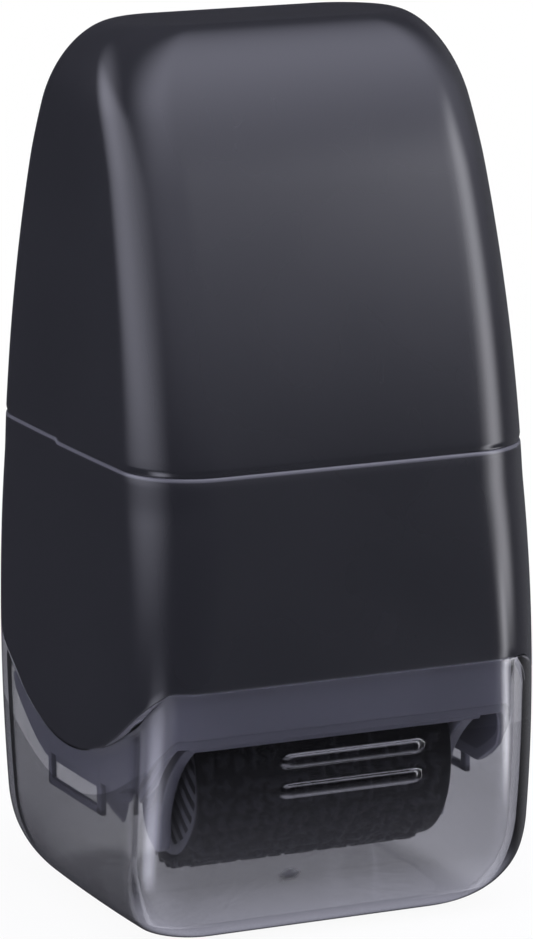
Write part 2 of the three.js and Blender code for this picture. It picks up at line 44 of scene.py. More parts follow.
scene = bpy.context.scene
scene.view_settings.view_transform = "Standard"

# Camera: a long lens, to the left of the front and a little above. Angles are in radians.
cameraSet = {
    "azimuth": 0.410, "elevation": 0.203, "roll": -0.012, "distance": 466.0, "nearClip": 0.01,
    "aimHeight": 39.0, "aimRight": 0.6, "focalPixels": 5200, "longSide": 939, "sensor": 36.0,
}


def makeCamera(given):
    turn, rise, roll = given["azimuth"], given["elevation"], given["roll"]
    back = Vector((-math.sin(turn) * math.cos(rise), -math.cos(turn) * math.cos(rise), math.sin(rise)))
    level = Vector((math.cos(turn), -math.sin(turn), 0))
    upright = back.cross(level)
    right = level * math.cos(roll) + upright * math.sin(roll)
    up = back.cross(right)
    aim = right * given["aimRight"] + Vector((0, 0, given["aimHeight"]))
    eye = (aim + back * given["distance"]) * mm
    data = bpy.data.cameras.new("camera")
    data.sensor_width = given["sensor"]
    data.lens = given["focalPixels"] * given["sensor"] / given["longSide"]
    data.clip_start = given["nearClip"]
    camera = bpy.data.objects.new("camera", data)
    camera.matrix_world = Matrix((
        (right.x, up.x, back.x, eye.x),
        (right.y, up.y, back.y, eye.y),
        (right.z, up.z, back.z, eye.z),
        (0, 0, 0, 1),
    ))
    scene.collection.objects.link(camera)
    scene.camera = camera


makeCamera(cameraSet)
print("camera placed")


# Sets a node's inputs by name or number; a value may also be the output of another node
def fill(tree, node, values):
    for label, value in values.items():
        if isinstance(value, bpy.types.NodeSocket):
            tree.links.new(value, node.inputs[label])
        else:
            node.inputs[label].default_value = value
    return node


def addNode(tree, kind, values=None):
    return fill(tree, tree.nodes.new(kind), values or {})


def mathNode(tree, operation, *values, clamp=False):
    node = addNode(tree, "ShaderNodeMath")
    node.operation = operation
    node.use_clamp = clamp
    return fill(tree, node, dict(enumerate(values))).outputs[0]


def vectorNode(tree, operation, *values):
    node = addNode(tree, "ShaderNodeVectorMath")
    node.operation = operation
    return fill(tree, node, dict(enumerate(values)))


def along(tree, direction, towards):
    return vectorNode(tree, "DOT_PRODUCT", direction, towards).outputs["Value"]


# A smooth step from 0 at low to 1 at high
def eased(tree, value, low, high):
    node = addNode(tree, "ShaderNodeMapRange", {"Value": value, "From Min": low, "From Max": high})
    node.interpolation_type = "SMOOTHSTEP"
    return node.outputs["Result"]


# From low where the mask is 0 to high where it is 1; either may be the output of another node
def blendColours(tree, mask, *ends):
    node = addNode(tree, "ShaderNodeMix")
    node.data_type = "RGBA"
    low, high = [end if isinstance(end, bpy.types.NodeSocket) else (*end, 1) for end in ends]
    return fill(tree, node, {"Factor": mask, 6: low, 7: high}).outputs[2]


def newMaterial(name):
    material = bpy.data.materials.new(name)
    material.use_nodes = True
    tree = material.node_tree
    return material, tree, tree.nodes["Principled BSDF"]


# Light: a dim room that brightens with height in front, most in a band high up, a pale table
# below, and soft boxes at both sides. A box's size is its width and height, lean turns it in its
# own plane, in degrees, and flat says how far from its middle it stays bright, as a share of each.
coolTint = (0.84, 0.84, 1.0)
paleTint = (0.93, 0.93, 1.0)
roomLight = {
    "dimFront": 0.035, "dimBack": 0.05, "backFrom": -0.5, "backTo": 0.6,
    "rise": 2.5, "band": 1.5, "bandFrom": 0.6, "bandTo": 0.95,
    "front": (0.30, -0.95, 0.0), "frontFrom": -0.2, "frontTo": 0.55, "behindShare": 0.07,
    "tableFrom": -0.45, "tableTo": -0.95, "table": 1.3, "tint": (0.82, 0.82, 1.0),
    "thrownFrom": 0.55, "thrownTo": 0.8,
}
softBoxes = {
    "left box": {
        "towards": (-0.946, 0.190, 0.262), "size": (1000, 450), "lean": 0,
        "radiance": 2.7, "flat": (0.0, 0.22), "tint": coolTint},
    "high left box": {
        "towards": (-0.740, 0.440, 0.515), "size": (520, 440), "lean": 0,
        "radiance": 1.5, "flat": (0.0, 0.1), "tint": coolTint},
    "low left box": {
        "towards": (-0.828, -0.222, -0.515), "size": (300, 300), "lean": 0,
        "radiance": 4.2, "flat": (0.05, 0.05), "tint": coolTint},
    "right box": {
        "towards": (0.755, -0.614, 0.200), "size": (360, 530), "lean": 9,
        "radiance": 5.1, "flat": (0.0, 0.3), "tint": paleTint},
    "low right box": {
        "towards": (0.644, -0.667, -0.375), "size": (150, 230), "lean": 0,
        "radiance": 5.4, "flat": (0.0, 0.2), "tint": paleTint},
    "far right box": {
        "towards": (0.950, 0.250, 0.000), "size": (800, 700), "lean": 0,
        "radiance": 0.2, "flat": (0.0, 0.2), "tint": paleTint},
}
boxDistance = 420
lightAim = Vector((0, 0, 40))


# What has passed through the clear cap since the camera, and has not lit a solid on the way
def passedClear(tree, path):
    passed = mathNode(tree, "GREATER_THAN", path.outputs["Transmission Depth"], 0.5)
    direct = mathNode(tree, "LESS_THAN", path.outputs["Diffuse Depth"], 0.5)
    return mathNode(tree, "MULTIPLY", passed, direct)


# Of these, what a wall of the cap has thrown back on its way: the room is dim to it in front
# and behind, and light at the sides, where the corners send it
def thrownBack(tree, path, direction):
    thrown = mathNode(tree, "GREATER_THAN", path.outputs["Glossy Depth"], 0.5)
    depth = mathNode(tree, "ABSOLUTE", along(tree, direction, (0, 1, 0)))
    share = eased(tree, depth, roomLight["thrownFrom"], roomLight["thrownTo"])
    return mathNode(tree, "MULTIPLY", thrown, share)


# Rays from the camera, straight or through the clear cap, see white
def seenWhite(tree, direction):
    path = addNode(tree, "ShaderNodeLightPath")
    kept = mathNode(tree, "SUBTRACT", 1.0, thrownBack(tree, path, direction))
    passed = mathNode(tree, "MULTIPLY", passedClear(tree, path), kept)
    return mathNode(tree, "MAXIMUM", path.outputs["Is Camera Ray"], passed)


def makeRoom(given):
    world = bpy.data.worlds.new("room")
    world.use_nodes = True
    world.cycles.sampling_method = "NONE"
    scene.world = world
    tree = world.node_tree
    where = addNode(tree, "ShaderNodeTexCoord").outputs["Generated"]
    height = along(tree, where, (0, 0, 1))
    inFront = eased(tree, along(tree, where, given["front"]), given["frontFrom"], given["frontTo"])
    lit = mathNode(tree, "MULTIPLY_ADD", inFront, 1 - given["behindShare"], given["behindShare"])
    high = eased(tree, height, given["bandFrom"], given["bandTo"])
    band = mathNode(tree, "MULTIPLY", high, given["band"])
    above = mathNode(tree, "MAXIMUM", height, 0.0)
    climb = mathNode(tree, "MULTIPLY_ADD", above, given["rise"], band)
    glow = mathNode(tree, "MULTIPLY", climb, lit)
    below = eased(tree, height, given["tableFrom"], given["tableTo"])
    table = mathNode(tree, "MULTIPLY", below, given["table"])
    behind = eased(tree, along(tree, where, (0, 1, 0)), given["backFrom"], given["backTo"])
    brighter = given["dimBack"] - given["dimFront"]
    dim = mathNode(tree, "MULTIPLY_ADD", behind, brighter, given["dimFront"])
    room = mathNode(tree, "ADD", mathNode(tree, "ADD", glow, table), dim)
    seen = seenWhite(tree, where)
    strength = addNode(tree, "ShaderNodeMix", {"Factor": seen, "A": room, "B": 1.0})
    fill(tree, tree.nodes["Background"], {
        "Color": blendColours(tree, seen, given["tint"], (1, 1, 1)),
        "Strength": strength.outputs["Result"],
    })


# A box is brightest in its middle and fades to nothing at its edges. Parametric runs from 0 to 1
# across the box and up it.
def makeSoftBox(name, given):
    data = bpy.data.lights.new(name, "AREA")
    data.shape = "RECTANGLE"
    data.size, data.size_y = (side * mm for side in given["size"])
    data.energy = given["radiance"] * math.pi * data.size * data.size_y
    data.color = given["tint"]
    data.use_nodes = True
    tree = data.node_tree
    where = addNode(tree, "ShaderNodeNewGeometry").outputs["Parametric"]
    fades = []
    for side, flat in zip(addNode(tree, "ShaderNodeSeparateXYZ", {0: where}).outputs, given["flat"]):
        away = mathNode(tree, "ABSOLUTE", mathNode(tree, "SUBTRACT", side, 0.5))
        fades.append(eased(tree, away, 0.5, flat))
    fill(tree, tree.nodes["Emission"], {"Strength": mathNode(tree, "MULTIPLY", *fades)})
    light = bpy.data.objects.new(name, data)
    towards = Vector(given["towards"]).normalized()
    place = Matrix.Translation((lightAim + towards * boxDistance) * mm)
    turned = towards.to_track_quat("Z", "Y").to_matrix().to_4x4()
    light.matrix_world = place @ turned @ Matrix.Rotation(math.radians(given["lean"]), 4, "Z")
    scene.collection.objects.link(light)


makeRoom(roomLight)
for boxName, boxGiven in softBoxes.items():
    makeSoftBox(boxName, boxGiven)

floorSet = {
    "reach": 3000, "colour": (0.8, 0.8, 0.8, 1), "rough": 0.9, "near": 22, "far": 120,
    "seenNear": 0.93, "throughNear": 0.62, "dim": 0.035,
}


# The floor takes the object's shadow close to it and turns to plain white further out. Gloss
# looks past it to the room's own table glow, and the cap's walls throw it back dim.
def makeFloor(given):
    reach = given["reach"] * mm
    mesh = bpy.data.meshes.new("floor")
    corners = [(-reach, -reach, 0), (reach, -reach, 0), (reach, reach, 0), (-reach, reach, 0)]
    mesh.from_pydata(corners, [], [(0, 1, 2, 3)])
    floor = bpy.data.objects.new("floor", mesh)
    floor.visible_glossy = False
    floor.visible_shadow = False
    scene.collection.objects.link(floor)
    material, tree, shader = newMaterial("pale floor")
    fill(tree, shader, {
        "Roughness": given["rough"], "Specular IOR Level": 0.0, "Base Color": given["colour"]})
    where = addNode(tree, "ShaderNodeTexCoord").outputs["Object"]
    away = vectorNode(tree, "LENGTH", where).outputs["Value"]
    out = eased(tree, away, given["near"] * mm, given["far"] * mm)
    path = addNode(tree, "ShaderNodeLightPath")
    passed = passedClear(tree, path)
    shares = []
    rays = {"seenNear": path.outputs["Is Camera Ray"], "throughNear": passed}
    for label, ray in rays.items():
        share = mathNode(tree, "MULTIPLY_ADD", out, 1 - given[label], given[label])
        shares.append(mathNode(tree, "MULTIPLY", ray, share))
    side = vectorNode(tree, "NORMALIZE", where).outputs["Vector"]
    thrown = mathNode(tree, "MULTIPLY", thrownBack(tree, path, side), passed)
    white = addNode(tree, "ShaderNodeEmission", {
        "Strength": mathNode(tree, "MULTIPLY_ADD", thrown, given["dim"] - 1, 1.0)})
    whiteShare = mathNode(tree, "MAXIMUM", mathNode(tree, "MAXIMUM", *shares), thrown)
    mix = addNode(tree, "ShaderNodeMixShader", {
        "Fac": whiteShare, 1: shader.outputs[0], 2: white.outputs[0]})
    fill(tree, tree.nodes["Material Output"], {"Surface": mix.outputs[0]})
    mesh.materials.append(material)


makeFloor(floorSet)
print("light and floor made")


# Shader groups, built once and placed in the materials with their own values
def newGroup(name, inputs, outputs):
    group = bpy.data.node_groups.new(name, "ShaderNodeTree")
    for label, value in inputs.items():
        socket = group.interface.new_socket(label, in_out="INPUT", socket_type="NodeSocketFloat")
        socket.default_value = value
    for label in outputs:
        group.interface.new_socket(label, in_out="OUTPUT", socket_type="NodeSocketFloat")
    given = group.nodes.new("NodeGroupInput").outputs
    return group, given, group.nodes.new("NodeGroupOutput")


def noise(tree, where, scale, detail=2.0):
    values = {"Vector": where, "Scale": scale, "Detail": detail}
    return addNode(tree, "ShaderNodeTexNoise", values).outputs["Fac"]


grainLook = {"detail": 3.0, "wide": 0.2, "toneFrom": 0.3, "toneTo": 0.7}


# Moulded grain: two noises of different size added, a fine one for the tool's spark marks
# and one five times wider for the flow of the plastic. Tone is a slow drift of colour.
def makeGrainGroup(look):
    group, given, result = newGroup(
        "moulded grain", {"Grain Scale": 5000.0, "Drift Scale": 60.0}, ("Height", "Tone"))
    where = addNode(group, "ShaderNodeTexCoord").outputs["Object"]
    fine = noise(group, where, given["Grain Scale"], look["detail"])
    wide = noise(group, where, mathNode(group, "MULTIPLY", given["Grain Scale"], look["wide"]))
    drift = noise(group, where, given["Drift Scale"], look["detail"])
    half = mathNode(group, "MULTIPLY", wide, 0.5)
    fill(group, result, {
        "Height": mathNode(group, "MULTIPLY_ADD", fine, 0.5, half),
        "Tone": eased(group, drift, look["toneFrom"], look["toneTo"]),
    })
    return group


hairlineLook = {
    "stretch": (1.0, 1.0, 0.06), "turn": (0.12, 0.08, 0.3), "gaps": 140.0, "gapFrom": 0.58, "gapTo": 0.70,
}


# Handling marks: the level line of a noise stretched along Z gives short hairlines, and a
# second noise lets only a few of them through
def makeScratchGroup(look):
    group, given, result = newGroup("hairline marks", {"Scale": 240.0, "Width": 0.004}, ("Mask",))
    where = addNode(group, "ShaderNodeTexCoord").outputs["Object"]
    stretched = addNode(group, "ShaderNodeMapping", {
        "Vector": where, "Scale": look["stretch"], "Rotation": look["turn"]}).outputs["Vector"]
    lines = noise(group, stretched, given["Scale"], 0.0)
    off = mathNode(group, "ABSOLUTE", mathNode(group, "SUBTRACT", lines, 0.5))
    near = mathNode(group, "DIVIDE", off, given["Width"])
    line = mathNode(group, "SUBTRACT", 1.0, near, clamp=True)
    kept = eased(group, noise(group, where, look["gaps"]), look["gapFrom"], look["gapTo"])
    fill(group, result, {"Mask": mathNode(group, "MULTIPLY", line, kept)})
    return group


smallerPores = 2.3


# Pores: cells of two sizes, low where a point is near a cell's middle; the mask, used for painted shade, is
# strongest there
def makePoreGroup():
    group, given, result = newGroup("open pores", {"Scale": 2200.0, "Depth": 0.45}, ("Height", "Mask"))
    where = addNode(group, "ShaderNodeTexCoord").outputs["Object"]
    cells = [
        addNode(group, "ShaderNodeTexVoronoi", {"Vector": where, "Scale": scale}).outputs["Distance"]
        for scale in (given["Scale"], mathNode(group, "MULTIPLY", given["Scale"], smallerPores))
    ]
    both = mathNode(group, "MINIMUM", *cells)
    height = mathNode(group, "DIVIDE", both, given["Depth"], clamp=True)
    fill(group, result, {"Height": height, "Mask": mathNode(group, "SUBTRACT", 1.0, height)})
    return group


grainGroup = makeGrainGroup(grainLook)
scratchGroup = makeScratchGroup(hairlineLook)
poreGroup = makePoreGroup()


def placeGroup(tree, group, values):
    node = addNode(tree, "ShaderNodeGroup")
    node.node_tree = group
    return fill(tree, node, values).outputs


def placeGrain(tree, given):
    return placeGroup(tree, grainGroup, {"Grain Scale": given["grain"], "Drift Scale": given["drift"]})


def placeMarks(tree, given):
    return placeGroup(tree, scratchGroup, {"Scale": given["marks"], "Width": given["markWidth"]})


def bumpFrom(tree, height, strength, depth):
    values = {"Strength": strength, "Distance": depth * mm, "Height": height}
    return addNode(tree, "ShaderNodeBump", values).outputs["Normal"]


def rangeOf(tree, value, low, high):
    values = {"Value": value, "To Min": low, "To Max": high}
    return addNode(tree, "ShaderNodeMapRange", values).outputs["Result"]


def attribute(tree, label):
    node = addNode(tree, "ShaderNodeAttribute")
    node.attribute_name = label
    return node.outputs["Fac"]


bumpDepth = {"grain": 0.02, "pores": 0.06, "rings": 0.01}
markDuller = 0.08
plasticIndex = 1.5
paintedLitFrom = 0.75


# Moulded plastic: the colour drifts a little, the grain sets roughness and bump,
# and hairline marks from handling are a touch paler and duller; where the shapes mark it, painted light is
# laid on
def mouldedPlastic(name, given):
    material, tree, shader = newMaterial(name)
    grain, marks = placeGrain(tree, given), placeMarks(tree, given)
    colour = blendColours(tree, grain["Tone"], given["dark"], given["light"])
    colour = blendColours(tree, marks["Mask"], colour, given["worn"])
    if "pale" in given:  # edges and faces that the shapes mark pale: painted highlight and painted light
        share = eased(tree, attribute(tree, "pale"), paintedLitFrom, 1.0)
        colour = blendColours(tree, share, colour, given["pale"])
    rough = rangeOf(tree, grain["Tone"], *given["rough"])
    fill(tree, shader, {
        "Base Color": colour,
        "Roughness": mathNode(tree, "MULTIPLY_ADD", marks["Mask"], markDuller, rough),
        "Normal": bumpFrom(tree, grain["Height"], given["bump"], bumpDepth["grain"]),
        "IOR": plasticIndex, "Specular IOR Level": given["specular"],
    })
    return material


# Smoke styrene: a clear wall under a soft polish, its tint taken up along the way through it,
# and more at the outer skin where that turns away from a ray that enters. The polish bends
# light more than the wall, so that the gloss is strong while the corners stay as even as in the
# photo. The mark that the mould's gate left is darker and duller. Lamps' light passes unbent.
def smokeStyrene(name, given):
    material, tree, shader = newMaterial(name)
    grain, marks = placeGrain(tree, given), placeMarks(tree, given)
    turned = addNode(tree, "ShaderNodeLayerWeight", {"Blend": given["turnedBlend"]})
    leaving = addNode(tree, "ShaderNodeNewGeometry").outputs["Backfacing"]
    entered = mathNode(tree, "SUBTRACT", 1.0, leaving)
    film = mathNode(tree, "MULTIPLY", entered, attribute(tree, "outer"))
    facing = mathNode(tree, "MULTIPLY", turned.outputs["Facing"], film)
    gate = attribute(tree, "gate")
    tint = blendColours(tree, grain["Tone"], given["dark"], given["light"])
    tint = blendColours(tree, facing, tint, given["deep"])
    rough = mathNode(tree, "MULTIPLY_ADD", marks["Mask"], given["markRough"], given["rough"])
    fill(tree, shader, {
        "Base Color": blendColours(tree, gate, tint, given["gate"]),
        "Roughness": mathNode(tree, "MULTIPLY_ADD", gate, given["gateRough"], rough),
        "Normal": bumpFrom(tree, grain["Height"], given["bump"], bumpDepth["grain"]),
        "Transmission Weight": 1.0, "IOR": given["wallIndex"],
        "Coat Weight": 1.0, "Coat IOR": given["polishIndex"], "Coat Roughness": given["polish"],
    })
    smoke = addNode(tree, "ShaderNodeVolumeAbsorption", {
        "Color": (*given["smoke"], 1), "Density": given["density"]})
    through = addNode(tree, "ShaderNodeBsdfTransparent", {"Color": (*given["shade"], 1)})
    shadow = addNode(tree, "ShaderNodeLightPath").outputs["Is Shadow Ray"]
    mix = addNode(tree, "ShaderNodeMixShader", {
        "Fac": shadow, 1: shader.outputs[0], 2: through.outputs[0]})
    fill(tree, tree.nodes["Material Output"], {"Surface": mix.outputs[0], "Volume": smoke.outputs[0]})
    return material


# Inked foam, felt and rubber: pores in the surface, with painted shade darkening them inside
def porousStuff(name, given):
    material, tree, shader = newMaterial(name)
    pores = placeGroup(tree, poreGroup, {"Scale": given["pores"], "Depth": 0.45})
    grain = placeGrain(tree, given)
    colour = blendColours(tree, grain["Tone"], given["dark"], given["light"])
    # painted shade: the colour darkens inside the pores
    colour = blendColours(tree, pores["Mask"], colour, given["deep"])
    if "top" in given:  # the raised marks' tops are painted paler than the ground: a painted highlight where they catch the light
        colour = blendColours(tree, attribute(tree, "raised"), colour, given["top"])
    fill(tree, shader, {
        "Base Color": colour,
        "Roughness": rangeOf(tree, grain["Tone"], *given["rough"]),
        "Normal": bumpFrom(tree, pores["Height"], given["bump"], bumpDepth["pores"]),
        "Specular IOR Level": given["specular"],
    })
    return material


# Turned steel: fine rings round the pin, from a noise squeezed along its length
def turnedSteel(name, given):
    material, tree, shader = newMaterial(name)
    where = addNode(tree, "ShaderNodeTexCoord").outputs["Object"]
    squeezed = addNode(tree, "ShaderNodeMapping", {"Vector": where, "Scale": given["squeeze"]})
    rings = noise(tree, squeezed.outputs["Vector"], given["rings"])
    fill(tree, shader, {
        "Metallic": 1.0,
        "Base Color": blendColours(tree, rings, given["dark"], given["light"]),
        "Roughness": rangeOf(tree, rings, *given["rough"]),
        "Normal": bumpFrom(tree, rings, given["bump"], bumpDepth["rings"]),
    })
    return material


# pale: a painted highlight, laid along the lower body's edge at the seam
blackSet = {
    "dark": (0.0128, 0.0131, 0.0150), "light": (0.0138, 0.0141, 0.0162),
    "worn": (0.017, 0.017, 0.0195), "pale": (0.085, 0.085, 0.095),
    "rough": (0.17, 0.20), "specular": 0.5, "grain": 5200.0, "drift": 55.0, "marks": 420.0,
    "markWidth": 0.003, "bump": 0.05,
}
# pale: painted light for the frame's inner faces, which lie in shade
frameSet = {
    "dark": (0.165, 0.166, 0.192), "light": (0.180, 0.181, 0.209),
    "worn": (0.20, 0.20, 0.22), "pale": (0.30, 0.30, 0.34),
    "rough": (0.42, 0.5), "specular": 0.4, "grain": 4200.0, "drift": 80.0, "marks": 500.0,
    "markWidth": 0.004, "bump": 0.08,
}
hubSet = {
    "dark": (0.085, 0.086, 0.096), "light": (0.105, 0.106, 0.118), "worn": (0.13, 0.13, 0.14),
    "rough": (0.42, 0.52), "specular": 0.4, "grain": 4600.0, "drift": 160.0, "marks": 600.0,
    "markWidth": 0.004, "bump": 0.08,
}
whiteSet = {
    "dark": (0.60, 0.58, 0.53), "light": (0.68, 0.66, 0.61), "worn": (0.5, 0.48, 0.44),
    "rough": (0.38, 0.48), "specular": 0.5, "grain": 4600.0, "drift": 160.0, "marks": 600.0,
    "markWidth": 0.004, "bump": 0.06,
}
smokeSet = {
    "dark": (0.89, 0.89, 0.90), "light": (0.92, 0.92, 0.93), "deep": (0.02, 0.02, 0.03),
    "turnedBlend": 0.5, "smoke": (0.0, 0.0, 0.08), "density": 200.0, "shade": (0.95, 0.95, 0.96),
    "wallIndex": 1.2, "polishIndex": 1.65, "rough": 0.06, "polish": 0.09,
    "gate": (0.10, 0.10, 0.12), "gateRough": 0.35, "grain": 700.0, "drift": 40.0,
    "marks": 420.0, "markWidth": 0.003, "markRough": 0.2, "bump": 0.01,
}
# deep, here and in the sets below: painted shade inside the pores
bandSet = {
    "dark": (0.0020, 0.0020, 0.0028), "light": (0.0030, 0.0030, 0.004),
    # top: a painted highlight on the raised marks' tops
    "deep": (0.0015, 0.0015, 0.002), "top": (0.016, 0.016, 0.019),
    "rough": (0.45, 0.6), "specular": 0.1, "pores": 5200.0, "grain": 6000.0, "drift": 300.0, "bump": 0.25,
}
foamSet = {
    "dark": (0.010, 0.010, 0.014), "light": (0.020, 0.020, 0.027), "deep": (0.004, 0.004, 0.006),
    "rough": (0.75, 0.95), "specular": 0.3, "pores": 2600.0, "grain": 3000.0, "drift": 220.0, "bump": 0.9,
}
feltSet = {
    "dark": (0.012, 0.012, 0.017), "light": (0.024, 0.024, 0.032), "deep": (0.008, 0.008, 0.011),
    "rough": (0.85, 1.0), "specular": 0.2, "pores": 3600.0, "grain": 2500.0, "drift": 260.0, "bump": 0.6,
}
plugFinish = {
    "dark": (0.018, 0.018, 0.020), "light": (0.026, 0.026, 0.028), "deep": (0.014, 0.014, 0.016),
    "rough": (0.6, 0.75), "specular": 0.4, "pores": 6500.0, "grain": 5000.0, "drift": 300.0, "bump": 0.15,
}
steelSet = {
    "dark": (0.46, 0.46, 0.47), "light": (0.58, 0.58, 0.59), "rough": (0.22, 0.38),
    "rings": 3000.0, "squeeze": (1.0, 0.04, 0.04), "bump": 0.3,
}

blackPlastic = mouldedPlastic("black plastic", blackSet)
framePlastic = mouldedPlastic("frame plastic", frameSet)
hubPlastic = mouldedPlastic("hub plastic", hubSet)
whitePlastic = mouldedPlastic("white plastic", whiteSet)
smokePlastic = smokeStyrene("smoke plastic", smokeSet)
bandRubber = porousStuff("band rubber", bandSet)
inkFoam = porousStuff("ink foam", foamSet)
inkFelt = porousStuff("ink felt", feltSet)
plugRubber = porousStuff("plug rubber", plugFinish)
pinSteel = turnedSteel("pin steel", steelSet)
print("materials made")

# The moulded form that cover, body, cap and cartridge share
bothSides = ((-1, "left"), (1, "right"))
bodyHeight = 80
widthForm = {
    "half": 19.5, "peak": 5, "arc": 1157,
    "headDrop": 4.3, "headReach": 7.45, "footDrop": 5.9, "footReach": 8.7,
}
depthForm = {
    "half": 20.6, "peak": 31, "arc": 96.5,
    "headDrop": 3.25, "headReach": 13.75, "footDrop": 4.75, "footReach": 6,
}
cornerLevels = (5, 40, 68)
cornerRadii = (4.0, 6.65, 4.9)
formSet = {"leastCorner": 0.6, "cornerShare": 0.96, "sideCrown": 0.35}
rimSet = {"front": 24.4, "tongue": 16.1, "middle": -0.9, "spread": 18.4, "gap": 0.08}
neckSet = {"drop": 4.6, "lowest": 13.6, "inset": 1.8, "wall": 1.2}


# A smooth step of a share from 0 to 1
def smooth(share):
    return share * share * (3 - 2 * share)


# What a quarter round takes off, as a share of its depth
def roundLoss(into):
    return 1 - np.sqrt(1 - into ** 2)


# What the rounded ends of a bar take off at x
def endLoss(x, half, ease):
    return ease * roundLoss(np.clip((np.abs(x) - half + ease) / ease, 0, 1))


# Half a side at a height: a flat arc about its widest level, less a quarter round at head and foot
def halfAt(form, z):
    intoHead = np.clip((z - bodyHeight + form["headReach"]) / form["headReach"], 0, 1)
    intoFoot = np.clip((form["footReach"] - z) / form["footReach"], 0, 1)
    bow = (z - form["peak"]) ** 2 / (2 * form["arc"])
    lost = form["headDrop"] * roundLoss(intoHead) + form["footDrop"] * roundLoss(intoFoot)
    return form["half"] - bow - lost


# Columns of every ring, anticlockwise from +X: corner arcs joined by straight runs.
# side is the place between the corner centres, turn the direction out of the nearest centre.
def ringColumns(cornerSteps, faceSteps, flankSteps):
    sides, turns = [], []
    for quarter in range(4):
        middle = (quarter + 0.5) * math.pi / 2
        side = np.sign([math.cos(middle), math.sin(middle)])
        nextSide = np.sign([-math.sin(middle), math.cos(middle)])
        angle = (quarter + np.linspace(0, 1, cornerSteps + 1)) * math.pi / 2
        turn = np.stack([np.cos(angle), np.sin(angle)], 1)
        count = flankSteps if quarter % 2 else faceSteps
        share = np.linspace(0, 1, count + 1)[1:-1, None]
        sides += [np.tile(side, (len(turn), 1)), side + (nextSide - side) * share]
        turns += [turn, np.tile(turn[-1], (len(share), 1))]
    return np.concatenate(sides), np.concatenate(turns)


# x and y of the form's skin at heights z, drawn in by inset: corner centre plus corner radius,
# then the flanks are crowned by easing their ends in with the square of y
def formSkin(columns, z, inset):
    side, turn = columns
    halfX = halfAt(widthForm, z) - inset
    halfY = halfAt(depthForm, z) - inset
    corner = np.maximum(np.interp(z, cornerLevels, cornerRadii) - inset, formSet["leastCorner"])
    corner = np.minimum(corner, np.minimum(halfX, halfY) * formSet["cornerShare"])
    x = side[:, 0] * (halfX - corner) + corner * turn[:, 0]
    y = side[:, 1] * (halfY - corner) + corner * turn[:, 1]
    return x - np.sign(x) * formSet["sideCrown"] * (y / halfY) ** 2 * (x / halfX) ** 2, y


# The parting edge: level in front and behind, with a parabolic tongue down each side
def rimHeight(y):
    share = np.minimum(np.abs(y - rimSet["middle"]) / rimSet["spread"], 1) ** 2
    return rimSet["tongue"] + (rimSet["front"] - rimSet["tongue"]) * share


def neckHeight(y):
    return np.maximum(rimHeight(y) - neckSet["drop"], neckSet["lowest"])


edgeSteps = 6
shellStep = 0.8
# how far below the seam's bevel the painted highlight reaches
highlightMargin = 0.01


# Height of an edge at every column, found by stepping between the edge and the skin
def edgeHeights(columns, edge):
    z = np.full(len(columns[0]), rimSet["front"])
    for step in range(edgeSteps):
        z = edge(formSkin(columns, z, 0)[1])
    return z


# From start to end, drawn towards pull
def parabola(start, pull, end, steps):
    t = np.linspace(0, 1, steps)[:, None]
    return (1 - t) ** 2 * start + 2 * t * (1 - t) * pull + t ** 2 * end


shortestGap = 1e-6


# A path through corners (first, second, reach): each corner is turned along a short parabola of
# its own reach, and the runs are filled in so that no two rows lie further apart than step
def roundedPath(corners, closed, step, turnSteps=5):
    corners = np.array(corners, float)
    points = []
    for i, (first, second, reach) in enumerate(corners):
        place = np.array([first, second])
        if reach == 0 or (not closed and i in (0, len(corners) - 1)):
            points.append(place[None])
            continue
        before = corners[i - 1, :2] - place
        after = corners[(i + 1) % len(corners), :2] - place
        start = place + before / np.hypot(*before) * reach
        end = place + after / np.hypot(*after) * reach
        points.append(parabola(start, place, end, turnSteps))
    path = np.concatenate(points)
    if closed:
        path = np.concatenate([path, path[:1]])
    gaps = np.hypot(*np.diff(path, axis=0).T)
    kept = np.concatenate([[True], gaps > shortestGap])
    path, gaps = path[kept], gaps[gaps > shortestGap]
    reached = np.concatenate([[0], np.cumsum(gaps)])
    counts = np.maximum(np.ceil(gaps / step).astype(int), 1)
    wanted = np.concatenate([
        np.linspace(low, high, count, endpoint=False)
        for low, high, count in zip(reached[:-1], reached[1:], counts)
    ])
    if not closed:
        wanted = np.append(wanted, reached[-1])
    return np.stack([np.interp(wanted, reached, line) for line in path.T], 1)


# Rows of a path that share one inset
def rowsAt(inset, levels):
    return np.stack([np.full(len(levels), float(inset)), levels], 1)


# How far each row of a path is spread: the first and last rows are drawn in to the middle
def spreadOf(path, first, last):
    spread = np.ones(len(path))
    spread[:len(first)] = first
    spread[len(path) - len(last):] = last
    return spread[:, None]


# Rows round both edges of a plate: how far each is drawn in, and its place between the faces
def plateRows(low, high, ease):
    angle = np.linspace(0, math.pi / 2, 4)
    drawn, level = ease * (1 - np.sin(angle)), ease * (1 - np.cos(angle))
    drawn = np.concatenate([drawn, drawn[::-1]])[:, None]
    return drawn, np.concatenate([low + level, (high - level)[::-1]])[:, None]


# Six times the volume inside a skin of quads or triangles: positive where the faces look outwards
def signedSize(points, faces):
    total = 0.0
    for last in range(2, faces.shape[1]):
        a, b, c = points[faces[:, 0]], points[faces[:, last - 1]], points[faces[:, last]]
        total += np.einsum("ij,ij->", a, np.cross(b, c))
    return total


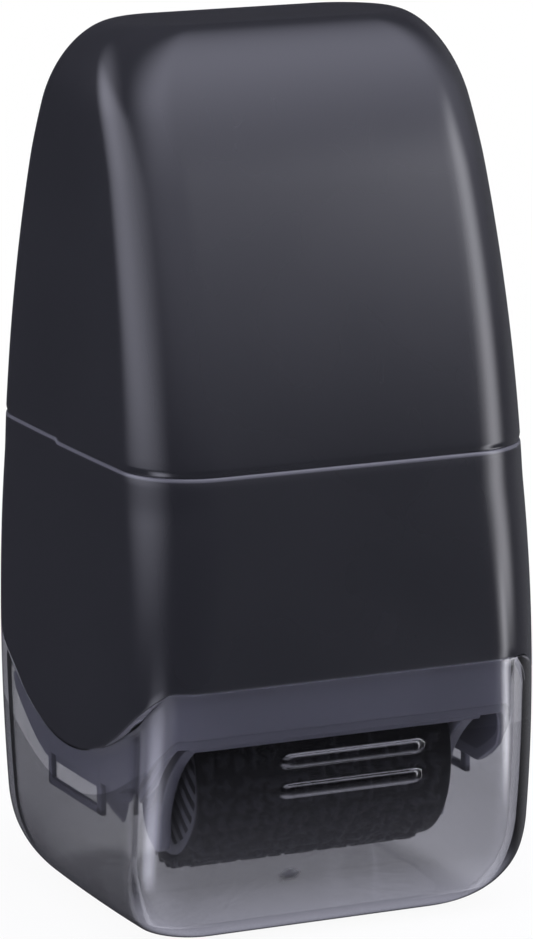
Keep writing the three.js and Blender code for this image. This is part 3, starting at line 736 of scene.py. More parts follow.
# Quads between the rows of a grid whose columns close on themselves. The rows may close too,
# or each end may run to a pole. The faces are turned to look outwards.
def gridMesh(name, x, y, z, closed=False, poles=(None, None)):
    x, y, z = np.broadcast_arrays(x, y, z)
    rows, columns = x.shape
    points = np.stack([x, y, z], -1).reshape(-1, 3)
    index = np.arange(rows * columns).reshape(rows, columns)
    lower = index if closed else index[:-1]
    upper = np.roll(index, -1, 0) if closed else index[1:]
    quads = np.stack([lower, np.roll(lower, -1, 1), np.roll(upper, -1, 1), upper], -1).reshape(-1, 4)
    groups = [quads]
    for end, pole in enumerate(poles):
        if pole is None:
            continue
        ring = index[-1 if end else 0]
        after = np.roll(ring, -1)
        centre = np.full(columns, len(points))
        points = np.concatenate([points, np.array(pole, float)[None]])
        groups.append(np.stack((ring, after, centre) if end else (after, ring, centre), -1))
    if sum(signedSize(points, group) for group in groups) < 0:
        groups = [group[:, ::-1] for group in groups]
    return meshObject(name, points, [face for group in groups for face in group.tolist()])


def meshObject(name, points, faces):
    mesh = bpy.data.meshes.new(name)
    mesh.from_pydata((np.asarray(points) * mm).tolist(), [], faces)
    mesh.polygons.foreach_set("use_smooth", np.ones(len(mesh.polygons), bool))
    mesh.update()
    piece = bpy.data.objects.new(name, mesh)
    scene.collection.objects.link(piece)
    return piece


def settle(piece, material, body, node):
    piece.data.materials.clear()
    piece.data.materials.append(material)
    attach(piece, body)
    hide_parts(node)


# A value at each point, which the materials read by its label
def markPoints(piece, label, values):
    data = piece.data.attributes.new(label, "FLOAT", "POINT").data
    data.foreach_set("value", np.ravel(values).astype(np.float32))


# A turned piece: a profile of place along the axis and radius, carried round a full turn.
# A profile that starts and ends on the axis gets a pole at each end; another closes on itself.
def turnedPiece(name, profile, centre, steps=96, step=0.6, upright=False):
    onAxis = profile[0][1] == 0
    path = roundedPath(profile, closed=not onAxis, step=step, turnSteps=4)
    ends = (None, None)
    if onAxis:
        ends = [(*centre, place) if upright else (place, *centre) for place in path[[0, -1], 0]]
        path = path[1:-1]
    angle = np.linspace(0, 2 * math.pi, steps, endpoint=False)
    first = centre[0] + path[:, 1:2] * np.cos(angle)
    second = centre[1] + path[:, 1:2] * np.sin(angle)
    places = (first, second, path[:, :1]) if upright else (path[:, :1], first, second)
    return gridMesh(name, *places, closed=not onAxis, poles=ends)


# A bar with eased edges: rounded rectangles in X and Y stacked along Z. Their corner radius, and
# with it their size, grows from nothing to ease along a quarter round at each end.
def easedBar(name, low, high, ease):
    low, high = np.array(low, float), np.array(high, float)
    middle, half = (low + high) / 2, (high - low) / 2
    side, turn = ringColumns(5, 2, 2)
    angle = np.linspace(0.05, math.pi / 2, 5)  # the pole stands in for 0
    radius = ease * np.sin(angle)
    level = ease * (1 - np.cos(angle))
    radius = np.concatenate([radius, radius[::-1]])[:, None]
    z = np.concatenate([low[2] + level, (high[2] - level)[::-1]])[:, None]
    x = middle[0] + side[:, 0] * (half[0] - ease) + radius * turn[:, 0]
    y = middle[1] + side[:, 1] * (half[1] - ease) + radius * turn[:, 1]
    poles = ((middle[0], middle[1], low[2]), (middle[0], middle[1], high[2]))
    return gridMesh(name, x, y, z, poles=poles)


# A plate across X with a round hole. Each column starts on the outline and runs towards the
# hole's centre: over the outline's eased edge, across one face, along the bore and back.
def holedPlate(name, corners, centre, holeRadius, faces, ease):
    outline = roundedPath(corners, closed=True, step=0.5)
    ahead = np.roll(outline, -1, 0) - np.roll(outline, 1, 0)
    ahead /= np.hypot(*ahead.T)[:, None]
    outward = np.stack([ahead[:, 1], -ahead[:, 0]], 1)
    ray = outline - np.array(centre)
    ray /= np.hypot(*ray.T)[:, None]
    outward *= np.sign((outward * ray).sum())
    drawn, x = plateRows(*faces, ease)
    rim = [outline[:, axis] - drawn * outward[:, axis] for axis in (0, 1)]
    bore = [centre[axis] + (holeRadius + drawn[::-1]) * ray[:, axis] for axis in (0, 1)]
    y, z = (np.concatenate([rim[axis], bore[axis]]) for axis in (0, 1))
    return gridMesh(name, np.concatenate([x, x[::-1]]), y, z, closed=True)


mergeWithin = 1e-6  # metres
flatWithin = 0.01  # radians
sharpFrom = math.radians(35)


# A CAD piece with its edges eased: its triangles are merged, flat fields joined, and a narrow
# bevel is laid along every edge that turns sharply
def easedCopy(name, node, ease):
    work = bmesh.new()
    work.from_mesh(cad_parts[node].data)
    bmesh.ops.remove_doubles(work, verts=work.verts, dist=mergeWithin)
    bmesh.ops.dissolve_limit(work, angle_limit=flatWithin, verts=work.verts, edges=work.edges)
    mesh = bpy.data.meshes.new(name)
    work.to_mesh(mesh)
    work.free()
    mesh.polygons.foreach_set("use_smooth", np.ones(len(mesh.polygons), bool))
    mesh.set_sharp_from_angle(angle=sharpFrom)
    piece = bpy.data.objects.new(name, mesh)
    scene.collection.objects.link(piece)
    bevel = piece.modifiers.new("eased edges", "BEVEL")
    bevel.width = ease * mm
    bevel.segments = 2
    bevel.limit_method = "ANGLE"
    bevel.angle_limit = sharpFrom
    return piece


# Smooth seeded unevenness on a grid that closes on itself: white noise passed through a Gaussian
# sieve of frequencies, then scaled so that two and a half deviations either way reach 0 and 1
def unevenness(rows, columns, grain, seed):
    random = np.random.default_rng(seed)
    waves = np.fft.rfft2(random.random((rows, columns)))
    down = np.fft.fftfreq(rows)[:, None] * grain
    across = np.fft.rfftfreq(columns)[None] * grain
    field = np.fft.irfft2(waves * np.exp(-2 * (down ** 2 + across ** 2)), s=(rows, columns))
    field = (field - field.mean()) / field.std()
    return np.clip(0.5 + field / 5, 0, 1)


shellColumns = (14, 40, 56)
seamSet = {
    "level": 43.0748, "gap": 0.03, "bodyBevel": 0.2, "coverBevel": 0.03, "drawIn": 0.11, "drawReach": 0.5,
    "jogAt": 1.7, "jogWidth": 0.5, "jog": 0.26, "jogReach": 2.5, "jogFrom": -4, "jogFade": 6,
    "collarHeight": 3.4, "collarOut": 1.8, "collarIn": 2.8, "collarRoot": 41.4748, "wall": 1.5,
}


# The left flank's seam steps up a little behind its middle, where the halves are keyed
def seamShift(x, y, level):
    near = np.exp(-((level - seamSet["level"]) / seamSet["jogReach"]) ** 2)
    behind = np.clip((y - seamSet["jogAt"]) / seamSet["jogWidth"] + 0.5, 0, 1)
    fromMiddle = np.clip((seamSet["jogFrom"] - x) / seamSet["jogFade"], 0, 1)
    return seamSet["jog"] * near * smooth(behind) * smooth(fromMiddle)


# A shell of the shared form: its rows follow a path in inset and level. Near an edge the levels
# move with that edge, and the move fades out with a smooth step between fadeAt and fadeTo.
def shellRows(path, edge, nominal, fadeAt, fadeTo):
    inset, level = path[:, :1], path[:, 1:2]
    fade = smooth(np.clip((level - fadeTo) / (fadeAt - fadeTo), 0, 1))
    return level + (edge[None] - nominal) * fade, inset, level


bodySet = {"corner": 0.12, "collarTop": 0.25, "innerRim": 0.2, "fadeOver": 0.6, "fadeTo": 37.5}


# Lower body: outer skin, seam bevel, the collar inside the cover, inner skin and the rounded edge.
# Its edge at the seam is painted paler: a painted highlight along the seam.
def makeLowerBody(given):
    columns = ringColumns(*shellColumns)
    gap = rimSet["gap"] / 2
    low = rimSet["front"] + gap
    top = seamSet["level"] - seamSet["gap"] / 2
    wall, out, inner = seamSet["wall"], seamSet["collarOut"], seamSet["collarIn"]
    collarTop = top + seamSet["collarHeight"]
    root, corner = seamSet["collarRoot"], given["corner"]
    path = roundedPath([
        (0, low, corner), (0, top, seamSet["bodyBevel"]), (out, top, corner),
        (out, collarTop, given["collarTop"]), (inner, collarTop, given["collarTop"]),
        (inner, root, corner), (wall, root, corner), (wall, low, given["innerRim"]),
    ], closed=True, step=shellStep)
    edge = edgeHeights(columns, rimHeight) + gap
    z, inset, level = shellRows(path, edge, low, low + given["fadeOver"], given["fadeTo"])
    x, y = formSkin(columns, z, inset)
    z = z + seamShift(x, y, level)
    body = gridMesh("lower_body_shell", x, y, z, closed=True)
    bevel = seamSet["bodyBevel"]
    # painted highlight: the rows of the seam's bevel are painted paler
    seamHighlightRows = (level > top - bevel - highlightMargin) & (inset < 2 * bevel)
    markPoints(body, "pale", np.broadcast_to(seamHighlightRows, x.shape))
    settle(body, blackPlastic, "housing", "lower_body")


innermost = 0.04  # the innermost row of a plateau, as a share of its size
coverSet = {
    "ceiling": 78, "ceilingInset": 2.1, "headRows": 44, "plateauRows": 8, "belowCeiling": 0.3,
    "lowEdge": 0.25, "drawFoot": 0.1, "drawEase": 0.2, "footEase": 0.03,
}


# Upper cover: from the inner ceiling's middle out and down the inner skin, round the seam's edge,
# up the outer skin and in over the flat crown
def makeCover(given):
    columns = ringColumns(*shellColumns)
    low = seamSet["level"] + seamSet["gap"] / 2
    wall, drawIn = seamSet["wall"], seamSet["drawIn"]
    headLow = bodyHeight - depthForm["headReach"]
    turn = np.linspace(math.pi / 2, 0, given["headRows"])[1:]
    headLevels = bodyHeight - depthForm["headReach"] * (1 - np.cos(turn))
    inward = np.linspace(innermost, 1, given["plateauRows"])
    skirt = roundedPath([
        (wall, headLow, 0), (wall, low, given["lowEdge"]), (drawIn, low, seamSet["coverBevel"]),
        (drawIn, low + given["drawFoot"], given["footEase"]),
        (0, low + seamSet["drawReach"], given["drawEase"]), (0, headLow, 0),
    ], closed=False, step=shellStep)
    path = np.concatenate([
        rowsAt(given["ceilingInset"], np.full(len(inward), given["ceiling"])),
        rowsAt(wall, headLevels[headLevels < given["ceiling"] - given["belowCeiling"]][::-1]),
        skirt, rowsAt(0, headLevels), rowsAt(0, np.full(len(inward) - 1, bodyHeight)),
    ])
    z = np.repeat(path[:, 1:2], len(columns[0]), 1)
    x, y = formSkin(columns, z, path[:, :1])
    z = z + seamShift(x, y, path[:, 1:2])
    poles = ((0, 0, given["ceiling"]), (0, 0, bodyHeight))
    spread = spreadOf(path, inward, inward[:-1][::-1])
    cover = gridMesh("upper_cover_shell", x * spread, y * spread, z, poles=poles)
    settle(cover, blackPlastic, "cover", "upper_cover")


# How high above a rib's foot its first rows lie, and the corner radius there
coverRibSet = {
    "x": 7.5, "thickness": 1.2, "reach": 9, "into": 0.5, "rows": 24,
    "footRows": (0.0, 0.1, 0.3), "radii": (0.05, 0.22, 0.3),
}


# Two ribs inside stiffen the head. Each is a stack of rounded rectangles along Z, as long in Y as
# the cover's wall allows at each level, and runs a little way into the ceiling.
def makeCoverRib(given, hand, label):
    side, turn = ringColumns(4, 2, 30)
    top, ease = coverSet["ceiling"] + given["into"], given["radii"][-1]
    foot = coverSet["ceiling"] - given["reach"] + np.array(given["footRows"])
    z = np.concatenate([foot[:-1], np.linspace(foot[-1], top, given["rows"])])[:, None]
    radius = np.interp(z, foot, given["radii"])
    halfY = halfAt(depthForm, z) - seamSet["wall"] / 2
    middle = hand * given["x"]
    x = middle + side[:, 0] * (given["thickness"] / 2 - ease) + radius * turn[:, 0]
    y = side[:, 1] * (halfY - ease) + radius * turn[:, 1]
    poles = ((middle, 0, foot[0]), (middle, 0, top))
    rib = gridMesh("cover_rib_" + label, x, y, z, poles=poles)
    settle(rib, blackPlastic, "cover", "upper_cover")


# Grip ribs: beads on a line, their height falling with the fourth power of the distance from
# the line, so that their backs are broad and their shoulders steep, front and back. The gate
# mark is a shallow oval dimple near the front's foot. It fades in over fade from edge inwards,
# both as shares of its half size.
ribSet = {"length": 13.2, "height": 1.3, "rise": 0.45, "top": 17.35, "pitch": 2.75}
gateSet = {
    "x": -5.2, "z": 6.6, "halfWidth": 1.0, "halfHeight": 0.45, "depth": 0.06, "edge": 1.2, "fade": 0.4,
}


def ribRise(x, z):
    reach = (ribSet["length"] - ribSet["height"]) / 2
    rise = np.zeros(np.broadcast(x, z).shape)
    for middle in (ribSet["top"], ribSet["top"] - ribSet["pitch"]):
        away = np.hypot(np.maximum(np.abs(x) - reach, 0), z - middle) / (ribSet["height"] / 2)
        rise = np.maximum(rise, ribSet["rise"] * np.sqrt(np.maximum(1 - away ** 4, 0)))
    return rise


def gateShare(x, z):
    across, up = (x - gateSet["x"]) / gateSet["halfWidth"], (z - gateSet["z"]) / gateSet["halfHeight"]
    return np.clip((gateSet["edge"] - np.hypot(across, up)) / gateSet["fade"], 0, 1)


capSet = {
    "columns": (12, 124, 44), "wall": 1.5, "floor": 1.8, "floorInset": 2.1, "footRows": 40,
    "plateauRows": 7, "rowsToRibs": 7, "ribRow": 0.075, "ribMargin": 0.35, "rimEase": 0.08,
    "aboveFloor": 0.2, "fadeOver": 0.6, "fadeTo": 7.5, "flatFacing": 0.999,
}


# Cap: from the middle of its flat foot out, up the outer skin past the ribs to the wavy rim,
# over it, down the inner skin and in over the floor. The outer skin and the gate mark are marked
# for the material.
def makeCap(given):
    columns = ringColumns(*given["columns"])
    gap = rimSet["gap"] / 2
    high = rimSet["front"] - gap
    reach, wall, ease = widthForm["footReach"], given["wall"], given["rimEase"]
    turn = np.linspace(0, math.pi / 2, given["footRows"])
    footLevels = reach * (1 - np.cos(turn))
    inward = np.linspace(innermost, 1, given["plateauRows"])
    margin = ribSet["height"] / 2 + given["ribMargin"]
    ribLow, ribHigh = ribSet["top"] - ribSet["pitch"] - margin, ribSet["top"] + margin
    outer = np.concatenate([
        np.zeros(len(inward) - 1), footLevels, np.linspace(reach, ribLow, given["rowsToRibs"])[1:-1],
        np.arange(ribLow, ribHigh, given["ribRow"]),
    ])
    rim = roundedPath([
        (0, ribHigh, 0), (0, high, ease), (wall, high, ease), (wall, reach, 0),
    ], closed=False, step=shellStep)
    inner = footLevels[footLevels > given["floor"] + given["aboveFloor"]][::-1][1:]
    floor = rowsAt(given["floorInset"], np.full(len(inward), given["floor"]))
    path = np.concatenate([rowsAt(0, outer), rim, rowsAt(wall, inner), floor])
    outside = (np.arange(len(path)) < len(outer))[:, None]
    edge = edgeHeights(columns, rimHeight) - gap
    z, inset, level = shellRows(path, edge, high, high - given["fadeOver"], given["fadeTo"])
    x, y = formSkin(columns, z, inset)
    facing = columns[1][:, 1]
    flat = (np.abs(facing) > given["flatFacing"]) * outside
    gate = gateShare(x, z) * (facing < 0) * flat
    y = y + np.sign(y) * (ribRise(x, z) * flat - gateSet["depth"] * gate)
    poles = ((0, 0, 0), (0, 0, given["floor"]))
    spread = spreadOf(path, inward[:-1], inward[::-1])
    cap = gridMesh("cap_shell", x * spread, y * spread, z, poles=poles)
    markPoints(cap, "gate", np.append(gate, (0, 0)))
    markPoints(cap, "outer", np.append(np.broadcast_to(outside, x.shape), (1, 0)))
    settle(cap, smokePlastic, "cap", "cap")


makeCover(coverSet)
for side, label in bothSides:
    makeCoverRib(coverRibSet, side, label)
makeLowerBody(bodySet)
makeCap(capSet)
print("cover, body and cap made")

# Cartridge frame: the neck and walls, a floor with the roller's window, skirts beside the window,
# arms below and bulkheads above it, and a latch loop at each side
axleLine = (-5.0, 14.3)  # y and z of the printing roller
inkLine = (1.2, 29.3748)
cartridgeSet = {
    "armInner": 12.737, "armOuter": 13.937, "top": 39.175, "floor": 20.3, "floorThickness": 1.2,
    "lipStep": 0.45, "lipDrop": 0.9, "windowFront": -15.1, "windowRear": 5.1, "windowCorner": 0.8,
    "skirtFoot": 18.2, "skirtThickness": 1.0, "skirtEase": 0.2, "floorEase": 0.2, "bushHole": 2.9,
    "bulkheadTop": 37.275, "bulkheadEase": 0.15, "fadeOver": 0.5, "paleWithin": 0.3,
}
armSet = {
    "front": -8.8, "rear": 3.0, "foot": 6.9, "heel": 9.6, "corner": 2.0, "ease": 0.22,
    "flareDrop": 0.4, "flareBelow": 3.9, "flarePull": (-5.5, 1.6), "flareRows": 14,
    "rearLevel": 17.0, "rearTurn": 0.6, "rearOut": 1.0, "joint": 0.1,
}
loopSet = {
    "outer": 17.66, "thickness": 0.6, "top": 14.9, "foot": 10.6, "bar": 0.7, "frontBar": 1.0,
    "half": 6.3, "ease": 0.18,
}


# The frame's skin is the neck's, held to the neck's own width where the housing narrows above it
def frameSkin(columns, z, inset):
    own = formSkin(columns, z, inset)
    widest = formSkin(columns, np.clip(z, neckSet["lowest"], rimSet["front"]), inset)
    return [np.sign(a) * np.minimum(np.abs(a), np.abs(b)) for a, b in zip(own, widest)]


# The inner side of the neck's skirt, which lies in shade, is painted paler: painted light
def makeNeck(given):
    columns = ringColumns(12, 40, 56)
    outer, inner = neckSet["inset"], neckSet["inset"] + neckSet["wall"]
    low = rimSet["front"] - neckSet["drop"]
    lip = low - given["lipDrop"]
    step = outer + given["lipStep"]
    path = roundedPath([
        (outer, low, 0.14), (outer, given["top"], 0.25), (inner, given["top"], 0.25), (inner, lip, 0.2),
        (step, lip, 0.2), (step, low, 0.1),
    ], closed=True, step=shellStep)
    edge = edgeHeights(columns, neckHeight)
    z, inset, level = shellRows(path, edge, low, low + given["fadeOver"], rimSet["front"])
    x, y = frameSkin(columns, z, inset)
    neck = gridMesh("frame_neck", x, y, z, closed=True)
    # painted light: the skirt's inner side, in shade, is painted paler
    paintedLitSkirt = (inset > inner - given["paleWithin"]) & (level < given["floor"])
    markPoints(neck, "pale", np.broadcast_to(paintedLitSkirt, x.shape))
    return neck


# Floor plate: each column runs from the wall's middle in to a rounded rectangular window
def makeFrameFloor(given):
    columns = ringColumns(6, 30, 30)
    side, turn = columns
    low, high = given["floor"], given["floor"] + given["floorThickness"]
    halfY = (given["windowRear"] - given["windowFront"]) / 2
    middleY = (given["windowRear"] + given["windowFront"]) / 2
    drawn, zIn = plateRows(low, high, given["floorEase"])
    corner = given["windowCorner"]
    xIn = side[:, 0] * (given["armInner"] - corner) + (corner + drawn) * turn[:, 0]
    yIn = middleY + side[:, 1] * (halfY - corner) + (corner + drawn) * turn[:, 1]
    zOut = np.array([[high], [low]])
    xOut, yOut = frameSkin(columns, zOut, neckSet["inset"] + neckSet["wall"] / 2)
    x, y = np.concatenate([xIn, xOut]), np.concatenate([yIn, yOut])
    return gridMesh("frame_floor", x, y, np.concatenate([zIn, zOut]), closed=True)


# An arm's outline in y and z: the flare is a quadratic curve from the neck's wall to the front edge
def armOutline(given, top, windowRear):
    flareTop = rimSet["front"] - neckSet["drop"] - given["flareDrop"]
    wallY = neckSet["inset"] + neckSet["wall"] / 2 - halfAt(depthForm, flareTop)
    axle = np.array(axleLine)
    start, end = np.array([wallY, flareTop]), np.array([given["front"], axleLine[1] - given["flareBelow"]])
    flare = parabola(start, axle + given["flarePull"], end, given["flareRows"])
    return [
        (wallY, top, 0), *((y, z, 0) for y, z in flare), (given["front"], given["foot"], given["corner"]),
        (given["rear"], given["heel"], given["corner"]),
        (given["rear"], given["rearLevel"], given["rearTurn"]),
        (windowRear + given["rearOut"], top, given["joint"]),
    ]


def makeLatchLoop(given, side, label):
    near, far = sorted((side * given["outer"], side * (given["outer"] - given["thickness"])))
    half, foot, bar = given["half"], given["foot"], given["bar"]
    bars = {
        "front": ((near, -half, foot), (far, given["frontBar"] - half, given["top"])),
        "rear": ((near, half - bar, foot), (far, half, given["top"])),
        "foot": ((near, -half, foot), (far, half, foot + bar)),
    }
    return [
        easedBar("latch_loop_" + place + "_" + label, low, high, given["ease"])
        for place, (low, high) in bars.items()
    ]


# The faces of the arms towards the roller are painted paler: painted light on faces that lie in shade
def paintArmLit(piece, within):
    places = np.empty(len(piece.data.vertices) * 3)
    piece.data.vertices.foreach_get("co", places)
    markPoints(piece, "pale", np.abs(places[::3]) < within * mm)


def makeCartridgeFrame(given):
    parts = [makeNeck(given), makeFrameFloor(given)]
    wide, thick, hole = given["armOuter"], given["skirtThickness"], given["bushHole"]
    top = given["floor"] + given["floorThickness"] / 2
    for label, y in (("front", given["windowFront"] - thick), ("rear", given["windowRear"])):
        corners = ((-wide, y, given["skirtFoot"]), (wide, y + thick, top))
        parts.append(easedBar("frame_skirt_" + label, *corners, given["skirtEase"]))
    outline = armOutline(armSet, top, given["windowRear"])
    wallY = halfAt(depthForm, rimSet["front"]) - neckSet["inset"] - neckSet["wall"] / 2
    high = given["bulkheadTop"]
    corners = ((-wallY, top), (wallY, top), (wallY, high), (-wallY, high))
    bulkhead = [(*corner, armSet["joint"]) for corner in corners]
    for side, label in bothSides:
        faces = sorted((side * given["armInner"], side * given["armOuter"]))
        arm = holedPlate("frame_arm_" + label, outline, axleLine, hole, faces, armSet["ease"])
        parts += [arm, holedPlate(
            "frame_bulkhead_" + label, bulkhead, inkLine, hole, faces, given["bulkheadEase"])]
        paintArmLit(arm, given["armInner"] + armSet["ease"])
        parts += makeLatchLoop(loopSet, side, label)
    for part in parts:
        settle(part, framePlastic, "cartridge", "cartridge_frame")


makeCartridgeFrame(cartridgeSet)
print("cartridge frame made")

# Printing roller: the rubber band with its raised marks, the webbed core, the slotted end discs
# and the axle
bandShape = {
    "radius": 9.2, "inner": 8.3, "half": 12.187, "ease": 0.3, "relief": 0.42, "rows": 196, "steps": 420,
    "seed": 11, "pitch": (1.55, 1.93), "strokes": 3, "length": (0.5, 1.3), "stroke": 0.16, "soft": 0.13,
    "slants": (0, 90, 90, 45, -45, 0), "stray": (0.4, 0.55), "nearby": 1.2, "farAway": 9.0,
    "endShare": 0.6,
}


# Height of the raised marks: short straight strokes, three to a cell in rows round the band, each
# upright, level or slanted by chance. A point's height falls with its distance to the nearest stroke.
def markHeight(given, x, arc, round):
    random = np.random.default_rng(given["seed"])
    pitchX, pitchArc = given["pitch"]
    cellsX = int(2 * given["half"] / pitchX)
    cellsArc = int(round / pitchArc)
    strayX, strayArc = given["stray"]
    nearest = np.full(np.broadcast(x, arc).shape, given["farAway"])
    slants = np.radians(given["slants"])
    for cell in range(cellsX * cellsArc):
        middleX = (cell % cellsX + 0.5) * pitchX - given["half"]
        middleArc = (cell // cellsX + 0.5) * round / cellsArc
        for stroke in range(given["strokes"]):
            slant = slants[random.integers(len(slants))]
            half = random.uniform(*given["length"]) / 2
            startX = middleX + random.uniform(-strayX, strayX)
            startArc = middleArc + random.uniform(-strayArc, strayArc)
            rows = np.abs(x[:, 0] - startX) < given["nearby"]
            acrossX = x[rows] - startX
            acrossArc = (arc - startArc + round / 2) % round - round / 2
            runX, runArc = math.cos(slant), math.sin(slant)
            alongIt = np.clip(acrossX * runX + acrossArc * runArc, -half, half)
            away = np.hypot(acrossX - alongIt * runX, acrossArc - alongIt * runArc)
            nearest[rows] = np.minimum(nearest[rows], away)
    return smooth(np.clip((given["stroke"] + given["soft"] - nearest) / given["soft"], 0, 1))


def makeBand(given):
    half, ease = given["half"], given["ease"]
    turn = np.linspace(0, math.pi / 2, 5)[:-1]
    endX = half - ease + ease * np.cos(turn)
    x = np.concatenate([-endX, np.linspace(ease - half, half - ease, given["rows"]), endX[::-1]])[:, None]
    lost = given["endShare"] * endLoss(x, half, ease)
    angle = np.linspace(0, 2 * math.pi, given["steps"], endpoint=False)[None]
    round = 2 * math.pi * given["radius"]
    raised = markHeight(given, x, angle * given["radius"], round)
    radius = given["radius"] - given["relief"] * (1 - raised) - lost
    x = np.concatenate([x, [[half], [-half]]])
    radius = np.concatenate([radius, np.full((2, given["steps"]), given["inner"])])
    y = axleLine[0] + radius * np.cos(angle)
    z = axleLine[1] + radius * np.sin(angle)
    band = gridMesh("print_band_marks", x, y, z, closed=True)
    markPoints(band, "raised", np.concatenate([raised, np.zeros((2, given["steps"]))]))
    settle(band, bandRubber, "print_roller", "print_band")


makeBand(bandShape)
print("printing band made")

coreSet = {"radius": 8.0, "half": 10.187, "wall": 1.2, "web": 1.4, "hub": 3.1, "bore": 1.8}
axleSet = {"end": 14.637, "ease": 0.3, "corner": 0.1, "roller": 1.5, "ink": 1.25}


def makeCore(given):
    half, web, hub = given["half"], given["web"] / 2, given["hub"]
    inner = given["radius"] - given["wall"]
    profile = []
    for side in (1, -1):
        profile += [(side * x, radius, reach) for x, radius, reach in (
            (half, given["bore"], 0.15), (half, hub, 0.2), (web, hub, 0.5), (web, inner, 0.5),
            (half, inner, 0.2), (half, given["radius"], 0.15),
        )][::side]
    core = turnedPiece("roller_core_turned", profile, axleLine)
    settle(core, hubPlastic, "print_roller", "roller_core")


def makeAxle(given, label, centre, body):
    end, ease, corner, radius = given["end"], given["ease"], given["corner"], given[label]
    half = [(end, 0, 0), (end, radius - ease, corner), (end - ease, radius, corner)]
    profile = [(-x, height, reach) for x, height, reach in half] + half[::-1]
    pin = turnedPiece(label + "_axle_turned", profile, centre, steps=64)
    settle(pin, pinSteel, body, label + "_axle")


bushSet = {
    "inner": 12.737, "seat": 14.237, "outer": 15.037, "floor": 14.637, "barrel": 2.6, "flange": 3.6,
    "drawn": 0.1, "roller": 1.8, "ink": 1.55,
}


# A closed bush: barrel through the plate, flange outside it
def makeBush(given, name, side, label, centre, material):
    inner, seat, outer, floor = given["inner"], given["seat"], given["outer"], given["floor"]
    bore, barrel, flange = given[name], given["barrel"], given["flange"]
    profile = [(side * x, radius, reach) for x, radius, reach in (
        (floor, 0, 0), (floor, bore, 0.1), (inner, bore, 0.15), (inner, barrel, 0.2), (seat, barrel, 0.1),
        (seat, flange, 0.15), (outer, flange - given["drawn"], 0.3), (outer, 0, 0),
    )]
    bush = turnedPiece(name + "_bush_turned_" + label, profile, centre, steps=72)
    settle(bush, material, "cartridge", name + "_bush_" + label)


discEase = 0.08

makeCore(coreSet)
makeAxle(axleSet, "roller", axleLine, "print_roller")
makeAxle(axleSet, "ink", inkLine, "ink_roller")
for side, label in bothSides:
    makeBush(bushSet, "roller", side, label, axleLine, framePlastic)
    makeBush(bushSet, "ink", side, label, inkLine, whitePlastic)
    disc = easedCopy("roller_end_eased_" + label, "roller_end_" + label, discEase)
    settle(disc, hubPlastic, "print_roller", "roller_end_" + label)
print("printing roller made")

# Inking roller: foam sleeve on its core between two flanges, the felt over it, the lid and its plugs
inkSet = {
    "flangeX": 11.0875, "end": 11.7875, "sleeveEnd": 10.7875, "radius": 6.8, "sleeveInner": 3.8,
    "core": 3.5, "coreInner": 2.1, "flange": 5.6, "bore": 1.55, "corner": 0.15,
}
foamShape = {
    "rows": 150, "steps": 240, "coarse": 9.0, "fine": 3.2, "coarseShare": 0.6, "fineShare": 0.4,
    "seeds": (3, 4), "rough": 0.16, "ease": 0.7,
}


# Foam: a thick tube whose outside is uneven in two sizes and whose ends round over
def makeFoam(given, shape):
    end, rows, steps = given["sleeveEnd"], shape["rows"], shape["steps"]
    x = np.linspace(-end, end, rows)[:, None]
    angle = np.linspace(0, 2 * math.pi, steps, endpoint=False)[None]
    rough = shape["coarseShare"] * unevenness(rows, steps, shape["coarse"], shape["seeds"][0])
    rough = rough + shape["fineShare"] * unevenness(rows, steps, shape["fine"], shape["seeds"][1])
    radius = given["radius"] - shape["rough"] * rough - endLoss(x, end, shape["ease"])
    inner = np.full((2, steps), given["sleeveInner"])
    x = np.concatenate([x, [[end], [-end]]])
    radius = np.concatenate([radius, inner])
    y, z = inkLine[0] + radius * np.cos(angle), inkLine[1] + radius * np.sin(angle)
    foam = gridMesh("ink_foam_porous", x, y, z, closed=True)
    settle(foam, inkFoam, "ink_roller", "ink_foam_sleeve")


feltShape = {
    "end": 11.287, "half": 7.5, "low": 35.6308, "top": 39.175, "hollow": 7.1, "hollowRows": 13,
    "rows": 110, "step": 0.22, "corner": 0.5, "topCorner": 0.6, "ease": 0.5, "rough": 0.14, "grain": 4.0,
    "seed": 5, "centre": 38.0,
}


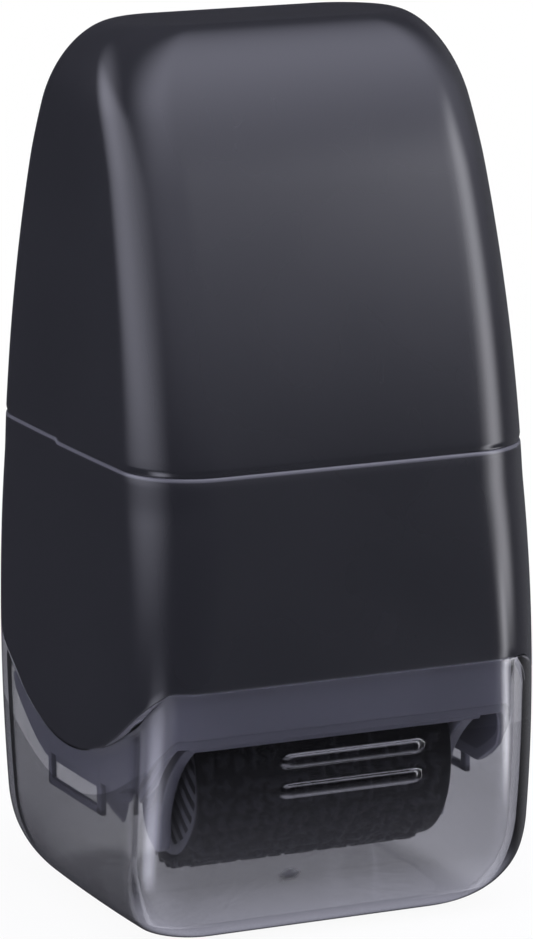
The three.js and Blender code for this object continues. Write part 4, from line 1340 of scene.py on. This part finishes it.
# Felt: a pad hollowed by the roller under it. The section's outline is drawn in along a quarter
# round at both ends, and the whole surface is lifted and sunk a little by its fibres.
def makeFelt(given):
    reach = math.sqrt(given["hollow"] ** 2 - (given["low"] - inkLine[1]) ** 2)
    swing = math.asin(reach / given["hollow"])
    hollow = [
        (inkLine[0] + given["hollow"] * math.sin(a), inkLine[1] + given["hollow"] * math.cos(a), 0)
        for a in np.linspace(-swing, swing, given["hollowRows"])
    ]
    left, right = inkLine[0] - given["half"], inkLine[0] + given["half"]
    low, top = (given["low"], given["corner"]), (given["top"], given["topCorner"])
    outline = roundedPath(
        [(left, *low), *hollow, (right, *low), (right, *top), (left, *top)], closed=True, step=given["step"])
    centre = np.array([inkLine[0], given["centre"]])
    ray = outline - centre
    away = np.hypot(*ray.T)
    x = np.linspace(-given["end"], given["end"], given["rows"])[:, None]
    fibres = unevenness(given["rows"], len(outline), given["grain"], given["seed"])
    lost = given["rough"] * fibres + endLoss(x, given["end"], given["ease"])
    share = 1 - lost / away
    y, z = centre[0] + share * ray[:, 0], centre[1] + share * ray[:, 1]
    poles = ((-given["end"], *centre), (given["end"], *centre))
    felt = gridMesh("ink_felt_pad", x, y, z, poles=poles)
    settle(felt, inkFelt, "cartridge", "ink_felt")


# A sleeve with square ends between two places along X
def makeSleeve(name, node, ends, bore, radius):
    low, high = ends
    corners = ((low, bore), (low, radius), (high, radius), (high, bore))
    sleeve = turnedPiece(name, [(*corner, inkSet["corner"]) for corner in corners], inkLine)
    settle(sleeve, whitePlastic, "ink_roller", node)


plugSet = {
    "x": 7.597, "lidTop": 40.6748, "seat": 0.3, "radius": 2.0, "head": 3.0, "headHeight": 1.0,
    "depth": 1.2, "dimple": 1.3, "dimpleFoot": 1.1, "dimpleDepth": 0.3,
}
lidEase = 0.18


def makePlug(given, side, label):
    top, foot = given["lidTop"] + given["seat"], given["lidTop"] - given["depth"]
    high = top + given["headHeight"]
    sunk = high - given["dimpleDepth"]
    plug = turnedPiece("filler_plug_turned_" + label, [
        (foot, 0, 0), (foot, given["radius"], 0.35), (top, given["radius"], 0.15),
        (top, given["head"], 0.15), (high, given["head"], 0.4), (high, given["dimple"], 0.2),
        (sunk, given["dimpleFoot"], 0.2), (sunk, 0, 0),
    ], (side * given["x"], inkLine[0]), steps=72, step=0.3, upright=True)
    settle(plug, plugRubber, "cartridge", "filler_plug_" + label)


makeFoam(inkSet, foamShape)
makeFelt(feltShape)
sleeveEnds = (-inkSet["sleeveEnd"], inkSet["sleeveEnd"])
makeSleeve("ink_core_turned", "ink_roller_core", sleeveEnds, inkSet["coreInner"], inkSet["core"])
for side, label in bothSides:
    ends = (side * inkSet["flangeX"], side * inkSet["end"])
    makeSleeve("ink_flange_turned_" + label, "ink_flange_" + label, ends, inkSet["bore"], inkSet["flange"])
for side, label in bothSides:
    makePlug(plugSet, side, label)
lid = easedCopy("cartridge_lid_eased", "cartridge_lid", lidEase)
settle(lid, framePlastic, "cartridge", "cartridge_lid")
print("inking roller, felt, lid and plugs made")
